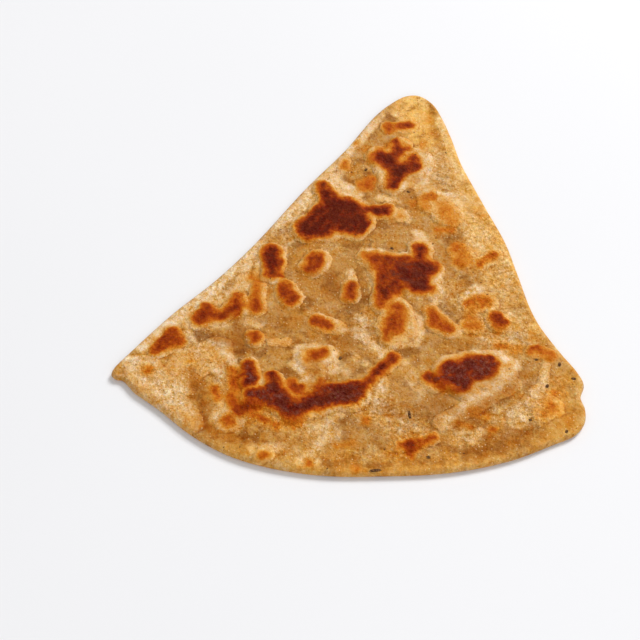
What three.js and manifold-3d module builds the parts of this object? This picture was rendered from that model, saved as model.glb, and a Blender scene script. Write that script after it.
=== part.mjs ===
// A triangular paratha: a flaky wholewheat flatbread, folded to a triangle, rolled out thin and
// browned in a pan. It is one piece of dough, so it is one solid: a sheet with a rounded rim,
// whose upper face stands up in blisters, with carom and cumin seeds pressed into it.
//
// Units are millimetres. The bread lies on its underside at z = 0. X runs from the sharp corner
// to the blunt one, Y runs from the curved base to the tip, and the origin is the middle of the
// bread's box, at the height of the surface that it lies on.

import * as THREE from "three";
import { mergeVertices } from "three/addons/utils/BufferGeometryUtils.js";
import Module from "manifold-3d";

// ---- Driving dimensions ------------------------------------------------------------------

const dough = 2.7; // thickness of the sheet between its blisters
const rimRound = 1.7; // how far in from the edge the rim has rounded off
const rimMiddle = 1.25; // height at which the rim stands out farthest
const thickEdge = 0.35; // how much thicker the dough is left along its edge
const thickEdgeReach = 9; // how far in from the edge that thickening fades out
const waves = [
  // slow waves of the sheet: height, how steeply they run along x and y, and where they start
  { height: 0.165, alongX: 1 / 15, alongY: 1 / 31, start: 0 },
  { height: 0.115, alongX: -1 / 40, alongY: 1 / 12, start: 1.3 },
];
const underHollow = 0.55; // height of the hollows in the underside above what it lies on
const hollowLevel = 0.45; // share of a hollow, from its middle, that is level
const capInside = 0.5; // a blister's skirt starts this far inside the edge of its strokes
const blendPower = 4; // how sharply neighbouring blisters meet

const topRings = 30; // rings of faces in the upper face
const underRings = 15; // and in the underside
const sectors = 6; // each ring has this many faces' sides more than the one inside it
const rimSteps = 5; // bands of faces round the rim

// The outline, anticlockwise from the sharp corner.
const outline = [
  // sharp corner, with the torn step of the top layer beside it
  [-84.9, -52.8], [-85.2, -54.9], [-83.6, -56.6], [-81.2, -57.0], [-78.6, -59.4], [-76.6, -61.7],
  // curved base
  [-67.4, -68.4], [-54.0, -79.2], [-41.0, -86.4], [-27.0, -90.6], [-8.0, -93.0], [12.0, -92.4],
  [36.0, -90.0], [57.0, -84.4], [73.0, -77.0],
  // blunt corner, with the notch between its two lobes
  [80.6, -73.0], [84.3, -67.8], [84.9, -62.2], [83.7, -57.4], [85.3, -51.8], [83.2, -46.2],
  // right side, hollow in its upper half
  [78.3, -38.8], [71.1, -26.3], [68.0, -18.0], [64.2, -2.3], [60.2, 13.4], [53.8, 29.6],
  [49.3, 41.0], [44.3, 54.2], [40.7, 68.3],
  // rounded tip
  [37.1, 79.7], [33.3, 87.9], [27.4, 92.6], [21.6, 92.0], [15.4, 87.2],
  // left side, a little hollow
  [8.9, 79.7], [-3.4, 59.2], [-17.9, 38.8], [-38.2, 6.9], [-51.0, -10.3], [-66.2, -27.4],
  [-79.0, -44.2],
];

// Blisters of the upper face. Each is a cap drawn with a few strokes, [from x, from y, to x, to y,
// half width there, half width here], that stands `rise` above the dough and falls away to it
// over `skirt`.
const blisters = [
  { name: "tip pair", rise: 0.5, skirt: 2.6, strokes: [[14.3, 72.4, 23.5, 74.1, 2.2, 2.6]] },
  {
    name: "leaf",
    rise: 1.1,
    skirt: 3.4,
    strokes: [
      [10.5, 56, 15, 52.4, 4, 5],
      [15, 52.4, 18.5, 47, 6, 6.5],
      [18, 47.9, 16, 41.2, 6, 4],
      [18.5, 47, 26, 54, 7, 5.5],
      [16.5, 55, 19.4, 62.5, 4, 3],
    ],
  },
  { name: "edge bead", rise: 0.6, skirt: 2.4, strokes: [[-3.2, 52.5, -3.8, 48.9, 1.8, 1.6]] },
  {
    name: "island",
    rise: 1.25,
    skirt: 3.6,
    strokes: [
      [-12.3, 38.1, -10.2, 33.5, 2.4, 3],
      [-10.2, 33.5, -6.7, 28.4, 3.2, 5],
      [-7.2, 27.9, -1.2, 27.5, 4.5, 4.6],
      [-2.2, 25.4, 4.6, 20.2, 5.5, 3.6],
      [-10.2, 23.4, -2.2, 21.9, 6, 6],
      [-16.3, 16.2, -10.2, 16.9, 5.6, 5.6],
      [-3.2, 18.4, 1.5, 17.3, 4.4, 4.2],
    ],
  },
  { name: "island bridge", rise: 0.75, skirt: 2.4, strokes: [[3, 26.6, 9.2, 26.2, 1.8, 1.8]] },
  { name: "island knob", rise: 0.95, skirt: 2.8, strokes: [[10.8, 26.1, 13.4, 26.7, 3, 3]] },
  { name: "knob ring", rise: 0.6, skirt: 2.2, strokes: [[18.6, 24.9, 19.4, 24.5, 2.4, 2.4]] },
  {
    name: "upright",
    rise: 0.95,
    skirt: 2.8,
    strokes: [[-30.7, 3.3, -29.4, -2.3, 3.8, 3.9], [-29.4, -2.3, -29.9, -7.3, 3.6, 3]],
  },
  { name: "bean", rise: 1, skirt: 2.8, strokes: [[-12.8, 0.3, -14.8, -2.7, 4.2, 4]] },
  { name: "teardrop", rise: 1, skirt: 2.6, strokes: [[-24.5, -13.5, -21.8, -18.7, 2.8, 3.2]] },
  { name: "lozenge", rise: 0.9, skirt: 2.8, strokes: [[0.4, -7.6, -0.1, -15.6, 1.2, 2.8]] },
  { name: "almond", rise: 0.9, skirt: 2.8, strokes: [[-12, -28.7, -4.1, -31.1, 2.8, 1.8]] },
  {
    name: "butterfly",
    rise: 1.25,
    skirt: 3.6,
    strokes: [
      [6, 2.6, 10, 1.1, 2, 3],
      [11, 0.6, 20, 0.2, 3.8, 3.8],
      [12.5, -2.4, 13.7, -10.8, 4.2, 4],
      [13.7, -10.8, 11.6, -20, 3.8, 2.2],
      [20, -3.4, 26, -9.8, 5.2, 5.2],
      [24, -3.4, 29.6, -2.9, 5.4, 4.4],
      [26.8, 7.1, 26.6, 0.7, 3.4, 3],
      [30.6, -7.3, 29.9, -13.1, 2.4, 2],
    ],
  },
  { name: "shoulder", rise: 0.9, skirt: 3, strokes: [[31.9, 32.7, 38.3, 25.4, 5.4, 4.4]] },
  { name: "right smudge", rise: 0.55, skirt: 3, strokes: [[41.2, 7.9, 44.2, 4, 3, 3]] },
  { name: "right streak", rise: 0.6, skirt: 2.6, strokes: [[49.8, 1.6, 55.4, 6.4, 2.2, 2]] },
  { name: "right dome", rise: 0.4, skirt: 3, strokes: [[45.8, -16.7, 50.8, -16.1, 4, 4]] },
  {
    name: "column",
    rise: 1,
    skirt: 3.4,
    strokes: [[17.3, -21.9, 17.6, -29.8, 4.6, 6.2], [17.6, -29.8, 15.6, -35.4, 5.6, 3]],
  },
  {
    name: "hook",
    rise: 1,
    skirt: 2.8,
    strokes: [[30.2, -21.7, 32, -26.7, 1.6, 3.2], [32.8, -27.2, 37, -30.7, 3.4, 2.6]],
  },
  {
    name: "zigzag",
    rise: 0.8,
    skirt: 2.8,
    strokes: [
      [-53.7, -25.6, -55.9, -31.5, 2.2, 2.2],
      [-54.1, -29.6, -47.1, -28.1, 2.4, 1.8],
      [-47.1, -28.1, -41.6, -19.7, 2, 2.2],
      [-40.4, -22.8, -34.6, -24, 1.6, 2.4],
      [-34.6, -14, -34.6, -24, 1.8, 2.4],
    ],
  },
  {
    name: "corner patch",
    rise: 0.8,
    skirt: 2.8,
    strokes: [[-64.8, -36.3, -64.4, -40.3, 2, 3.2], [-64.6, -40.5, -70, -44.6, 3, 2]],
  },
  { name: "corner dot", rise: 0.55, skirt: 2.6, strokes: [[-73.6, -53.4, -71.4, -53.4, 2, 2.2]] },
  { name: "ringed dot", rise: 0.95, skirt: 2, strokes: [[-34.6, -37.2, -34.3, -37.6, 2.9, 2.9]] },
  { name: "flat ring", rise: 0.6, skirt: 1.8, strokes: [[-27.8, -38.6, -22.9, -38, 1.1, 1.3]] },
  { name: "crescent", rise: 1.05, skirt: 3, strokes: [[-9, -43.3, -13.5, -45.5, 3, 4.2]] },
  { name: "crescent foot", rise: 0.3, skirt: 3, strokes: [[-13.5, -46.9, -12.4, -53.1, 4.4, 3.4]] },
  { name: "pillar", rise: 1, skirt: 2.8, strokes: [[-35.7, -49.6, -35, -56.6, 2.4, 3]] },
  {
    name: "band",
    rise: 1.1,
    skirt: 3.2,
    strokes: [
      [-27.4, -54.5, -24.5, -60.8, 2.2, 3],
      [-34.5, -63, -24.5, -63.4, 3, 3.6],
      [-24.5, -63.4, -19.6, -68.1, 3.8, 4],
      [-19.6, -67.8, -11.4, -65.4, 3.4, 3.2],
      [-11.4, -65.4, -5.5, -61.8, 3.6, 4.4],
      [-5.5, -61.8, 2, -60.5, 4.4, 5],
    ],
  },
  {
    name: "band arm",
    rise: 0.8,
    skirt: 2.2,
    strokes: [[5.2, -57, 10.6, -50.5, 1.2, 1.4], [10.6, -50.5, 16.4, -44, 1.5, 2.1]],
  },
  { name: "orange dot", rise: 0.8, skirt: 3, strokes: [[-41.7, -72.9, -41.9, -74.7, 2.6, 2.6]] },
  {
    name: "great oval",
    rise: 1.4,
    skirt: 4,
    strokes: [
      [38.5, -49.6, 50.4, -46.6, 6.4, 6],
      [46.5, -49.1, 53.4, -48.3, 6.4, 6],
      [37.1, -51.9, 42.1, -56, 4, 3.6],
    ],
  },
  { name: "oval satellite", rise: 0.8, skirt: 2.4, strokes: [[28.9, -52.4, 31.3, -55.4, 2, 2.4]] },
  { name: "round", rise: 0.9, skirt: 2.6, strokes: [[54.6, -24.5, 55.6, -26.3, 3.1, 3.1]] },
  { name: "round neighbour", rise: 0.5, skirt: 2.6, strokes: [[43.8, -28.3, 46.8, -27.7, 2.4, 2.4]] },
  { name: "corner twins", rise: 0.6, skirt: 2.4, strokes: [[67.6, -38.3, 73.2, -39.7, 2, 1.6]] },
  { name: "lobe patch", rise: 0.6, skirt: 3.2, strokes: [[69.5, -64.9, 72.9, -62.5, 3, 3]] },
  { name: "long ridge", rise: 0.6, skirt: 3.4, strokes: [[60, -53.3, 33.9, -70.6, 1.4, 2.2]] },
  { name: "base streak", rise: 0.7, skirt: 2.4, strokes: [[18.8, -81.3, 30.2, -77.3, 1.6, 1.2]] },
  { name: "base dot", rise: 0.65, skirt: 2.8, strokes: [[-28.6, -86.4, -28, -86.4, 2, 2]] },
  {
    name: "left lumps",
    rise: 0.5,
    skirt: 1.8,
    strokes: [
      [-64, -57.6, -60.5, -57.2, 1.3, 1.5],
      [-60.5, -57.2, -57.2, -61.6, 1.6, 1.5],
      [-51, -49.4, -48, -52.2, 1.4, 1.3],
      [-47.6, -40.6, -45.6, -41.4, 0.9, 1],
      [-45.6, -41.4, -43.4, -46.2, 1, 1],
      [-47.4, -63.6, -45.8, -66.4, 0.5, 0.5],
    ],
  },
  {
    name: "left swelling",
    rise: 0.55,
    skirt: 3.4,
    strokes: [[-74, -53, -62.5, -66, 5, 4.6], [-62.5, -66, -54.6, -75, 4.6, 2.8]],
  },
  {
    name: "corner swell",
    rise: 0.45,
    skirt: 1.8,
    strokes: [[72, -45.6, 70.2, -52.6, 1.2, 1.6], [70.2, -52.6, 65.8, -61, 1.6, 2]],
  },
  { name: "base swell", rise: 0.4, skirt: 1.8, strokes: [[47, -73.6, 43.4, -78.4, 0.9, 0.8]] },
  { name: "inner swelling", rise: 0.6, skirt: 4, strokes: [[-47.8, -43.5, -58, -50.9, 4, 6]] },
];

// Seeds pressed into the upper face: x, y, and the direction that each one lies in, in degrees.
const caromSeed = { length: 2.3, width: 1.4 };
const cuminSeed = { length: 4.8, width: 1.4 };
const caromSeeds = [
  [22.5, 37.4, -40], [15.8, 7.7, -15], [76.9, -43.8, 80], [68.6, -42, 10], [81.6, -50, -10],
  [77.2, -72.6, 70], [64.8, -68.2, 20], [71.6, -53.8, 60], [28.4, -85, 0], [-3, -44.4, 60],
  [5.4, 48.6, 60],
];
const cuminSeeds = [[10, -91.1, 8], [22, -67.6, 100]];
const seedStandsOut = 0.3; // share of a seed's width that stands out of the dough

// Hollows in the underside, [x, y, half length, half width, direction in degrees]; the dough
// touches what it lies on everywhere else.
const underHollows = [
  [-48, -46, 17, 8, 30], [-8, -70, 20, 7, 0], [52, -58, 18, 8, 25], [54, -12, 16, 6, 100],
  [-30, -12, 13, 6, 55], [20, 48, 15, 6, 80], [24, -38, 12, 6, 150], [-6, 30, 11, 5, 40],
];

// ---- Shape of the sheet ------------------------------------------------------------------

const smoothStep = (from, to, value) => {
  const t = THREE.MathUtils.clamp((value - from) / (to - from), 0, 1);
  return t * t * (3 - 2 * t);
};

// Distance from a point to a stroke's edge, less than 0 inside it.
function distanceToStroke([x1, y1, x2, y2, r1, r2], x, y) {
  const dx = x2 - x1;
  const dy = y2 - y1;
  const along = ((x - x1) * dx + (y - y1) * dy) / (dx * dx + dy * dy);
  const t = THREE.MathUtils.clamp(along, 0, 1);
  return Math.hypot(x - x1 - t * dx, y - y1 - t * dy) - r1 - t * (r2 - r1);
}

// Height of one blister over a point: a level cap whose skirt falls away on all sides.
function blisterHeight(blister, x, y) {
  const distances = blister.strokes.map((stroke) => distanceToStroke(stroke, x, y));
  return blister.rise * smoothStep(blister.skirt, -capInside, Math.min(...distances));
}

// Neighbouring blisters run into each other: the power sum rounds the groove between them.
function blistersHeight(x, y) {
  const powers = blisters.map((blister) => blisterHeight(blister, x, y) ** blendPower);
  return powers.reduce((total, power) => total + power, 0) ** (1 / blendPower);
}

function wavesHeight(x, y) {
  const heights = waves.map((w) => w.height * Math.sin(x * w.alongX + y * w.alongY + w.start));
  return heights.reduce((total, height) => total + height, 0);
}

// 0 at the edge, 1 where the rim has rounded off: a quarter of an ellipse.
function rimRounding(inset) {
  const t = Math.min(inset / rimRound, 1);
  return Math.sqrt(1 - (1 - t) ** 2);
}

// Upper face at a point that lies `inset` from the edge.
function topHeight(x, y, inset) {
  const level =
    dough +
    thickEdge * smoothStep(thickEdgeReach, 0, inset) +
    (wavesHeight(x, y) + blistersHeight(x, y)) * smoothStep(0, 2 * rimRound, inset);
  return rimMiddle + (level - rimMiddle) * rimRounding(inset);
}

// Underside: level where it lies, a little higher in its hollows.
function underHeight(x, y, inset) {
  const depth = underHollows.map(([cx, cy, a, b, degrees]) => {
    const turn = THREE.MathUtils.degToRad(degrees);
    const u = (x - cx) * Math.cos(turn) + (y - cy) * Math.sin(turn);
    const v = (y - cy) * Math.cos(turn) - (x - cx) * Math.sin(turn);
    return smoothStep(1, hollowLevel, Math.hypot(u / a, v / b));
  });
  return rimMiddle * (1 - rimRounding(inset)) + underHollow * Math.max(...depth);
}

// ---- Outline -----------------------------------------------------------------------------

const fine = 1440; // steps in which the outline is measured
const headingReach = 4; // steps on either side over which its heading is measured
const bendReach = 3; // and over which its bend is
const curve = new THREE.CatmullRomCurve3(
  outline.map(([x, y]) => new THREE.Vector3(x, y, 0)),
  true,
  "centripetal",
);
const finePoints = curve.getSpacedPoints(fine).slice(0, fine);
const box = new THREE.Box3().setFromPoints(finePoints);
const middle = box.getCenter(new THREE.Vector3());
const fineAt = (i) => finePoints[(i + fine) % fine];
const fineHeading = (i) => {
  const step = fineAt(i + headingReach).clone().sub(fineAt(i - headingReach));
  return Math.atan2(step.y, step.x);
};

// Running total round the outline of length, counted more where the outline turns, so that
// steps of equal count come closer together round the corners.
const cornerWeight = 3.2; // millimetres that a turn of one radian adds, times the step's count
const running = [0];
for (let i = 0; i < fine; i += 1) {
  const turn = fineHeading(i + bendReach) - fineHeading(i - bendReach);
  const bend = Math.abs(Math.atan2(Math.sin(turn), Math.cos(turn)));
  running.push(running[i] + fineAt(i).distanceTo(fineAt(i + 1)) + cornerWeight * bend);
}

// Point of the outline at a share of the way round, moved in from the edge by `inset`.
function outlinePoint(share, inset) {
  const wanted = (((share % 1) + 1) % 1) * running[fine];
  let i = running.findIndex((total) => total > wanted) - 1;
  i = Math.max(i, 0);
  const t = (wanted - running[i]) / (running[i + 1] - running[i]);
  const point = fineAt(i).clone().lerp(fineAt(i + 1), t);
  const inward = fineHeading(i) + Math.PI / 2;
  return point.add(new THREE.Vector3(Math.cos(inward), Math.sin(inward), 0).multiplyScalar(inset));
}

// ---- Mesh --------------------------------------------------------------------------------

const positions = [];
const indices = [];

function addVertex(x, y, z) {
  positions.push(x - middle.x, y - middle.y, z);
  return positions.length / 3 - 1;
}

// Joins two loops of vertices with a band of triangles, whatever their numbers of vertices.
function bridge(a, b) {
  let i = 0;
  let j = 0;
  while ((a.length > 1 && i < a.length) || (b.length > 1 && j < b.length)) {
    const shareA = a.length > 1 ? (i + 0.5) / a.length : 2;
    const shareB = b.length > 1 ? (j + 0.5) / b.length : 2;
    if (shareB <= shareA) {
      indices.push(a[i % a.length], b[j % b.length], b[(j + 1) % b.length]);
      j += 1;
    } else {
      indices.push(a[i % a.length], b[j % b.length], a[(i + 1) % a.length]);
      i += 1;
    }
  }
}

// One ring of the inner face: the outline inside the rim, shrunk towards the heart of the bread.
const heart = new THREE.Vector3(8, -14, 0);
function faceRing(ring, rings, height) {
  const scale = ring / rings;
  const count = Math.max(1, ring * sectors);
  return Array.from({ length: count }, (_, k) => {
    const edge = outlinePoint(k / count, rimRound);
    const point = heart.clone().lerp(edge, scale);
    const inset = rimRound + (1 - scale) * edge.distanceTo(heart);
    return addVertex(point.x, point.y, height(point.x, point.y, inset));
  });
}

// One loop of the rim, `inset` from the edge, on the upper or the lower half of its round.
function rimLoop(inset, height) {
  const count = topRings * sectors;
  return Array.from({ length: count }, (_, k) => {
    const point = outlinePoint(k / count, inset);
    return addVertex(point.x, point.y, height(point.x, point.y, inset));
  });
}

// Insets of the rim's loops, from where it has rounded off to the edge: equal steps of a quarter
// circle.
const halfRim = Math.floor(rimSteps / 2) + 1;
const rimInsets = Array.from({ length: halfRim }, (_, k) => {
  const angle = ((k + 1) / halfRim) * (Math.PI / 2);
  return rimRound * (1 - Math.sin(angle));
});

const loops = [];
for (let ring = 0; ring <= topRings; ring += 1) loops.push(faceRing(ring, topRings, topHeight));
for (const inset of rimInsets) loops.push(rimLoop(inset, topHeight));
for (const inset of rimInsets.slice(0, -1).reverse()) loops.push(rimLoop(inset, underHeight));
for (let ring = underRings; ring >= 0; ring -= 1) {
  loops.push(faceRing(ring, underRings, underHeight));
}
for (let k = 0; k + 1 < loops.length; k += 1) bridge(loops[k], loops[k + 1]);

const sheet = new THREE.BufferGeometry();
sheet.setAttribute("position", new THREE.Float32BufferAttribute(positions, 3));
sheet.setIndex(indices);

// ---- Seeds -------------------------------------------------------------------------------

const wasm = await Module();
wasm.setup();

function solidOf(geometry) {
  const bare = geometry.clone();
  bare.deleteAttribute("normal");
  bare.deleteAttribute("uv");
  const merged = mergeVertices(bare, 1e-4);
  return new wasm.Manifold(
    new wasm.Mesh({
      numProp: 3,
      vertProperties: merged.attributes.position.array,
      triVerts: new Uint32Array(merged.index.array),
    }),
  );
}

// A seed is a small long ball that lies on the dough, most of it pressed in.
const seedSides = 6;
const seedRows = 4;
function seedGeometry({ length, width }, [x, y, degrees]) {
  const geometry = new THREE.SphereGeometry(0.5, seedSides, seedRows);
  const nearestEdge = Math.min(...finePoints.map((p) => Math.hypot(p.x - x, p.y - y)));
  const z = topHeight(x, y, nearestEdge) + (seedStandsOut - 0.5) * width;
  geometry.rotateZ(Math.PI / 2);
  geometry.scale(length, width, width);
  geometry.rotateZ(THREE.MathUtils.degToRad(degrees));
  geometry.translate(x - middle.x, y - middle.y, z);
  return geometry;
}

let solid = solidOf(sheet);
for (const place of caromSeeds) solid = solid.add(solidOf(seedGeometry(caromSeed, place)));
for (const place of cuminSeeds) solid = solid.add(solidOf(seedGeometry(cuminSeed, place)));

const joined = solid.getMesh();
const paratha = new THREE.BufferGeometry();
paratha.setAttribute("position", new THREE.BufferAttribute(joined.vertProperties, 3));
paratha.setIndex(new THREE.BufferAttribute(joined.triVerts, 1));
paratha.computeVertexNormals();

// ---- Scene graph -------------------------------------------------------------------------

const bakedDough = new THREE.MeshStandardMaterial({
  color: 0xd9a25f,
  roughness: 0.55,
  metalness: 0,
});

const bread = new THREE.Mesh(paratha, bakedDough);
bread.name = "paratha";

const root = new THREE.Group();
root.add(bread);

export default root;
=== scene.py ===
# %% [markdown]
# # A triangular paratha
#
# A paratha is a wholewheat flatbread that is folded, rolled out thin and browned on a hot pan
# with a little oil. Where the dough puffed up it touched the pan and scorched; between those
# blisters it stayed golden and oily. This notebook dresses the plain solid of the bread with a
# finely modelled sheet of dough, its seeds and flecks of bran, and the finish of each.

# %% Load the frame
import math

import bpy
import numpy as np
from mathutils import Matrix, Vector


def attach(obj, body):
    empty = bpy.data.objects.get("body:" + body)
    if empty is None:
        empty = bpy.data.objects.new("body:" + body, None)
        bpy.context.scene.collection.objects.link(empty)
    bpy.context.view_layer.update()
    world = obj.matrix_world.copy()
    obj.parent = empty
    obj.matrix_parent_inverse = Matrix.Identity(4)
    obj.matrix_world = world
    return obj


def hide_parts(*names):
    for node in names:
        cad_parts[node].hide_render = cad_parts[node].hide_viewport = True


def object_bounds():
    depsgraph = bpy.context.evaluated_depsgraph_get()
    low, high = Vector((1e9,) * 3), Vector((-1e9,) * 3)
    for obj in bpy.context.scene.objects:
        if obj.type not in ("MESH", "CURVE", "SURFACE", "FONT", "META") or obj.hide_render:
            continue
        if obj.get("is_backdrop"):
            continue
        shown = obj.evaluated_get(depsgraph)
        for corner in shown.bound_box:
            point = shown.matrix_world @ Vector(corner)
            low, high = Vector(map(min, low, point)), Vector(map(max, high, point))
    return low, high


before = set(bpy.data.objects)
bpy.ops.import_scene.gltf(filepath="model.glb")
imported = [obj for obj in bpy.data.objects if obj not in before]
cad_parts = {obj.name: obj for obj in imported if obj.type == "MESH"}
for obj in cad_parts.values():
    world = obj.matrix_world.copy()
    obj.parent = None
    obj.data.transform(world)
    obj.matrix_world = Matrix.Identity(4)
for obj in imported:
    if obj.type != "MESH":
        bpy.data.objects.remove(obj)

MM = 0.001
cad_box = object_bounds()
print("solid's box in mm", [[round(v / MM, 1) for v in corner] for corner in cad_box])

# %% [markdown]
# ## Camera
#
# The camera looks down on the bread at a bit over fifty degrees, from half a metre away. It could
# be aimed with a constraint, but a matrix built from two angles is easier to read: the camera
# backs away from its target, and a slight roll turns the picture on its axis.

# %% Camera
CAMERA_TARGET = Vector((-10.9, -25.6, 0)) * MM
CAMERA_DISTANCE = 510.4 * MM
CAMERA_ELEVATION = math.radians(53.62)
CAMERA_ROLL = math.radians(2.14)
PICTURE_SIDE = 640
FOCAL_PIXELS = 1366
SENSOR_WIDTH = 36.0

back = Vector((0, -math.cos(CAMERA_ELEVATION), math.sin(CAMERA_ELEVATION)))
right = Matrix.Rotation(CAMERA_ROLL, 3, back) @ Vector((1, 0, 0))
up = back.cross(right)
camera = bpy.data.objects.new("camera", bpy.data.cameras.new("camera"))
camera.data.sensor_fit = "HORIZONTAL"
camera.data.sensor_width = SENSOR_WIDTH
camera.data.lens = FOCAL_PIXELS * SENSOR_WIDTH / PICTURE_SIDE
facing = Matrix((right, up, back)).transposed().to_4x4()
camera.matrix_world = Matrix.Translation(CAMERA_TARGET + back * CAMERA_DISTANCE) @ facing
bpy.context.scene.collection.objects.link(camera)
bpy.context.scene.camera = camera
print("lens", round(camera.data.lens, 1), "mm")

# %% [markdown]
# ## Outline of the bread
#
# The dough was folded to a triangle and rolled out, so it has a sharp corner, a blunt corner and
# a rounded tip. The outline goes through a few points in millimetres. A centripetal Catmull-Rom
# curve passes through all of them without loops, which a plain spline can't promise where long
# and short steps meet. The curve is then measured off in equal steps.

# %% Outline
OUTLINE = [
    # sharp corner, with the torn step of the top layer beside it
    (-84.9, -52.8), (-85.2, -54.9), (-83.6, -56.6), (-81.2, -57.0), (-78.6, -59.4), (-76.6, -61.7),
    # curved base
    (-67.4, -68.4), (-54.0, -79.2), (-41.0, -86.4), (-27.0, -90.6), (-8.0, -93.0), (12.0, -92.4),
    (36.0, -90.0), (57.0, -84.4), (73.0, -77.0),
    # blunt corner, with the notch between its two lobes
    (80.6, -73.0), (84.3, -67.8), (84.9, -62.2), (83.7, -57.4), (85.3, -51.8), (83.2, -46.2),
    # right side, hollow in its upper half
    (78.3, -38.8), (71.1, -26.3), (68.0, -18.0), (64.2, -2.3), (60.2, 13.4), (53.8, 29.6),
    (49.3, 41.0), (44.3, 54.2), (40.7, 68.3),
    # rounded tip
    (37.1, 79.7), (33.3, 87.9), (27.4, 92.6), (21.6, 92.0), (15.4, 87.2),
    # left side, a little hollow
    (8.9, 79.7), (-3.4, 59.2), (-17.9, 38.8), (-38.2, 6.9), (-51.0, -10.3), (-66.2, -27.4),
    (-79.0, -44.2),
]
SPAN_STEPS = 40
OUTLINE_STEPS = 1440


def catmull_rom(points, steps):
    """A closed centripetal Catmull-Rom curve through the points, some steps in each span."""
    p = [np.roll(np.array(points, float), k, axis=0)[:, None] for k in (1, 0, -1, -2)]
    gap = [np.sqrt(np.linalg.norm(p[k + 1] - p[k], axis=2, keepdims=True)) for k in range(3)]
    leave = (p[1] - p[0]) / gap[0] - (p[2] - p[0]) / (gap[0] + gap[1]) + (p[2] - p[1]) / gap[1]
    arrive = (p[2] - p[1]) / gap[1] - (p[3] - p[1]) / (gap[1] + gap[2]) + (p[3] - p[2]) / gap[2]
    t = np.linspace(0, 1, steps, endpoint=False)[None, :, None]
    share = 2 * t**3 - 3 * t**2 + 1
    bends = (t**3 - 2 * t**2 + t) * leave * gap[1] + (t**3 - t**2) * arrive * gap[1]
    return (share * p[1] + (1 - share) * p[2] + bends).reshape(-1, 2)


def equal_steps(points, count):
    """The same closed curve with its points at equal distances."""
    closed = np.vstack([points, points[:1]])
    along = np.append(0, np.cumsum(np.linalg.norm(np.diff(closed, axis=0), axis=1)))
    wanted = np.arange(count) / count * along[-1]
    return np.stack([np.interp(wanted, along, closed[:, k]) for k in (0, 1)], axis=1)


edge = equal_steps(catmull_rom(OUTLINE, SPAN_STEPS), OUTLINE_STEPS)
middle = (edge.min(axis=0) + edge.max(axis=0)) / 2
print("bread is", np.round(np.ptp(edge, axis=0), 1), "mm wide and long")

# %% [markdown]
# ## Points round the outline
#
# The rim turns quickly at the corners, so the points round it lie closer together there. Each
# stretch of the outline counts for its length plus something for its bend, and the points are
# spread evenly over that count. A point is moved inwards at right angles to the outline.

# %% Points round the outline
CORNER_WEIGHT = 3.2  # how strongly a bend draws the points together
HEADING_REACH = 4  # points of the outline over which its heading is measured, to either side
BEND_REACH = 3

ahead = np.roll(edge, -HEADING_REACH, axis=0) - np.roll(edge, HEADING_REACH, axis=0)
heading = np.unwrap(np.arctan2(ahead[:, 1], ahead[:, 0]))
bend = np.roll(heading, -BEND_REACH) - np.roll(heading, BEND_REACH)
bend = np.abs((bend + np.pi) % (2 * np.pi) - np.pi)
stretch = np.linalg.norm(np.roll(edge, -1, axis=0) - edge, axis=1) + CORNER_WEIGHT * bend
running = np.append(0, np.cumsum(stretch))


def outline_points(count, inset):
    """Points round the outline, moved in from the edge by inset millimetres."""
    wanted = np.arange(count) / count * running[-1]
    closed = np.vstack([edge, edge[:1]])
    place = np.stack([np.interp(wanted, running, closed[:, k]) for k in (0, 1)], axis=1)
    inward = np.interp(wanted, running, np.append(heading, heading[0] + 2 * np.pi)) + np.pi / 2
    return place + inset * np.stack([np.cos(inward), np.sin(inward)], axis=1)


print("a stretch counts for", np.round(np.sort(stretch)[[0, -1]], 2), "at least and at most")

# %% [markdown]
# ## Noise
#
# Dough is uneven at every size, from slow waves to grains of bran. Gradient noise gives a smooth
# unevenness of a chosen width: a lattice of random slopes, blended between its corners. Blender
# has such a noise for its materials; this one is for the shape, so it works on arrays of points.

# %% Noise
LATTICE = 128
NOISE_GAIN = 1.5  # gradient noise alone stays within about two thirds of -1 to 1


def noise(x, y, size, seed):
    """Smooth unevenness from about -1 to 1, whose bumps are about size millimetres wide."""
    turn = np.random.default_rng(seed).uniform(0, 2 * np.pi, (LATTICE, LATTICE))
    u, v = x / size, y / size
    i, j = np.floor(u).astype(int), np.floor(v).astype(int)
    fu, fv = u - i, v - j

    def slope(di, dj):
        angle = turn[(i + di) % LATTICE, (j + dj) % LATTICE]
        return np.cos(angle) * (fu - di) + np.sin(angle) * (fv - dj)

    su, sv = (t**3 * (t * (t * 6 - 15) + 10) for t in (fu, fv))
    low = slope(0, 0) * (1 - su) + slope(1, 0) * su
    high = slope(0, 1) * (1 - su) + slope(1, 1) * su
    return NOISE_GAIN * (low * (1 - sv) + high * sv)


def smooth_step(start, end, value):
    """0 before start, 1 after end, and a smooth rise between them."""
    t = np.clip((value - start) / (end - start), 0, 1)
    return t * t * (3 - 2 * t)


sample = noise(*np.meshgrid(np.arange(0, 90, 0.7), np.arange(0, 90, 0.7)), 6, 1)
print("noise goes from", round(sample.min(), 2), "to", round(sample.max(), 2))

# %% [markdown]
# ## Blisters
#
# Steam lifts the dough into blisters with a level cap and a sloping skirt. They could be sculpted,
# but each one here is drawn with a few strokes of a broad pen. Four numbers say where a stroke
# starts and ends, and two more half its width at either end, all in millimetres. The name of each
# blister says what it looks like from above.

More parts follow.
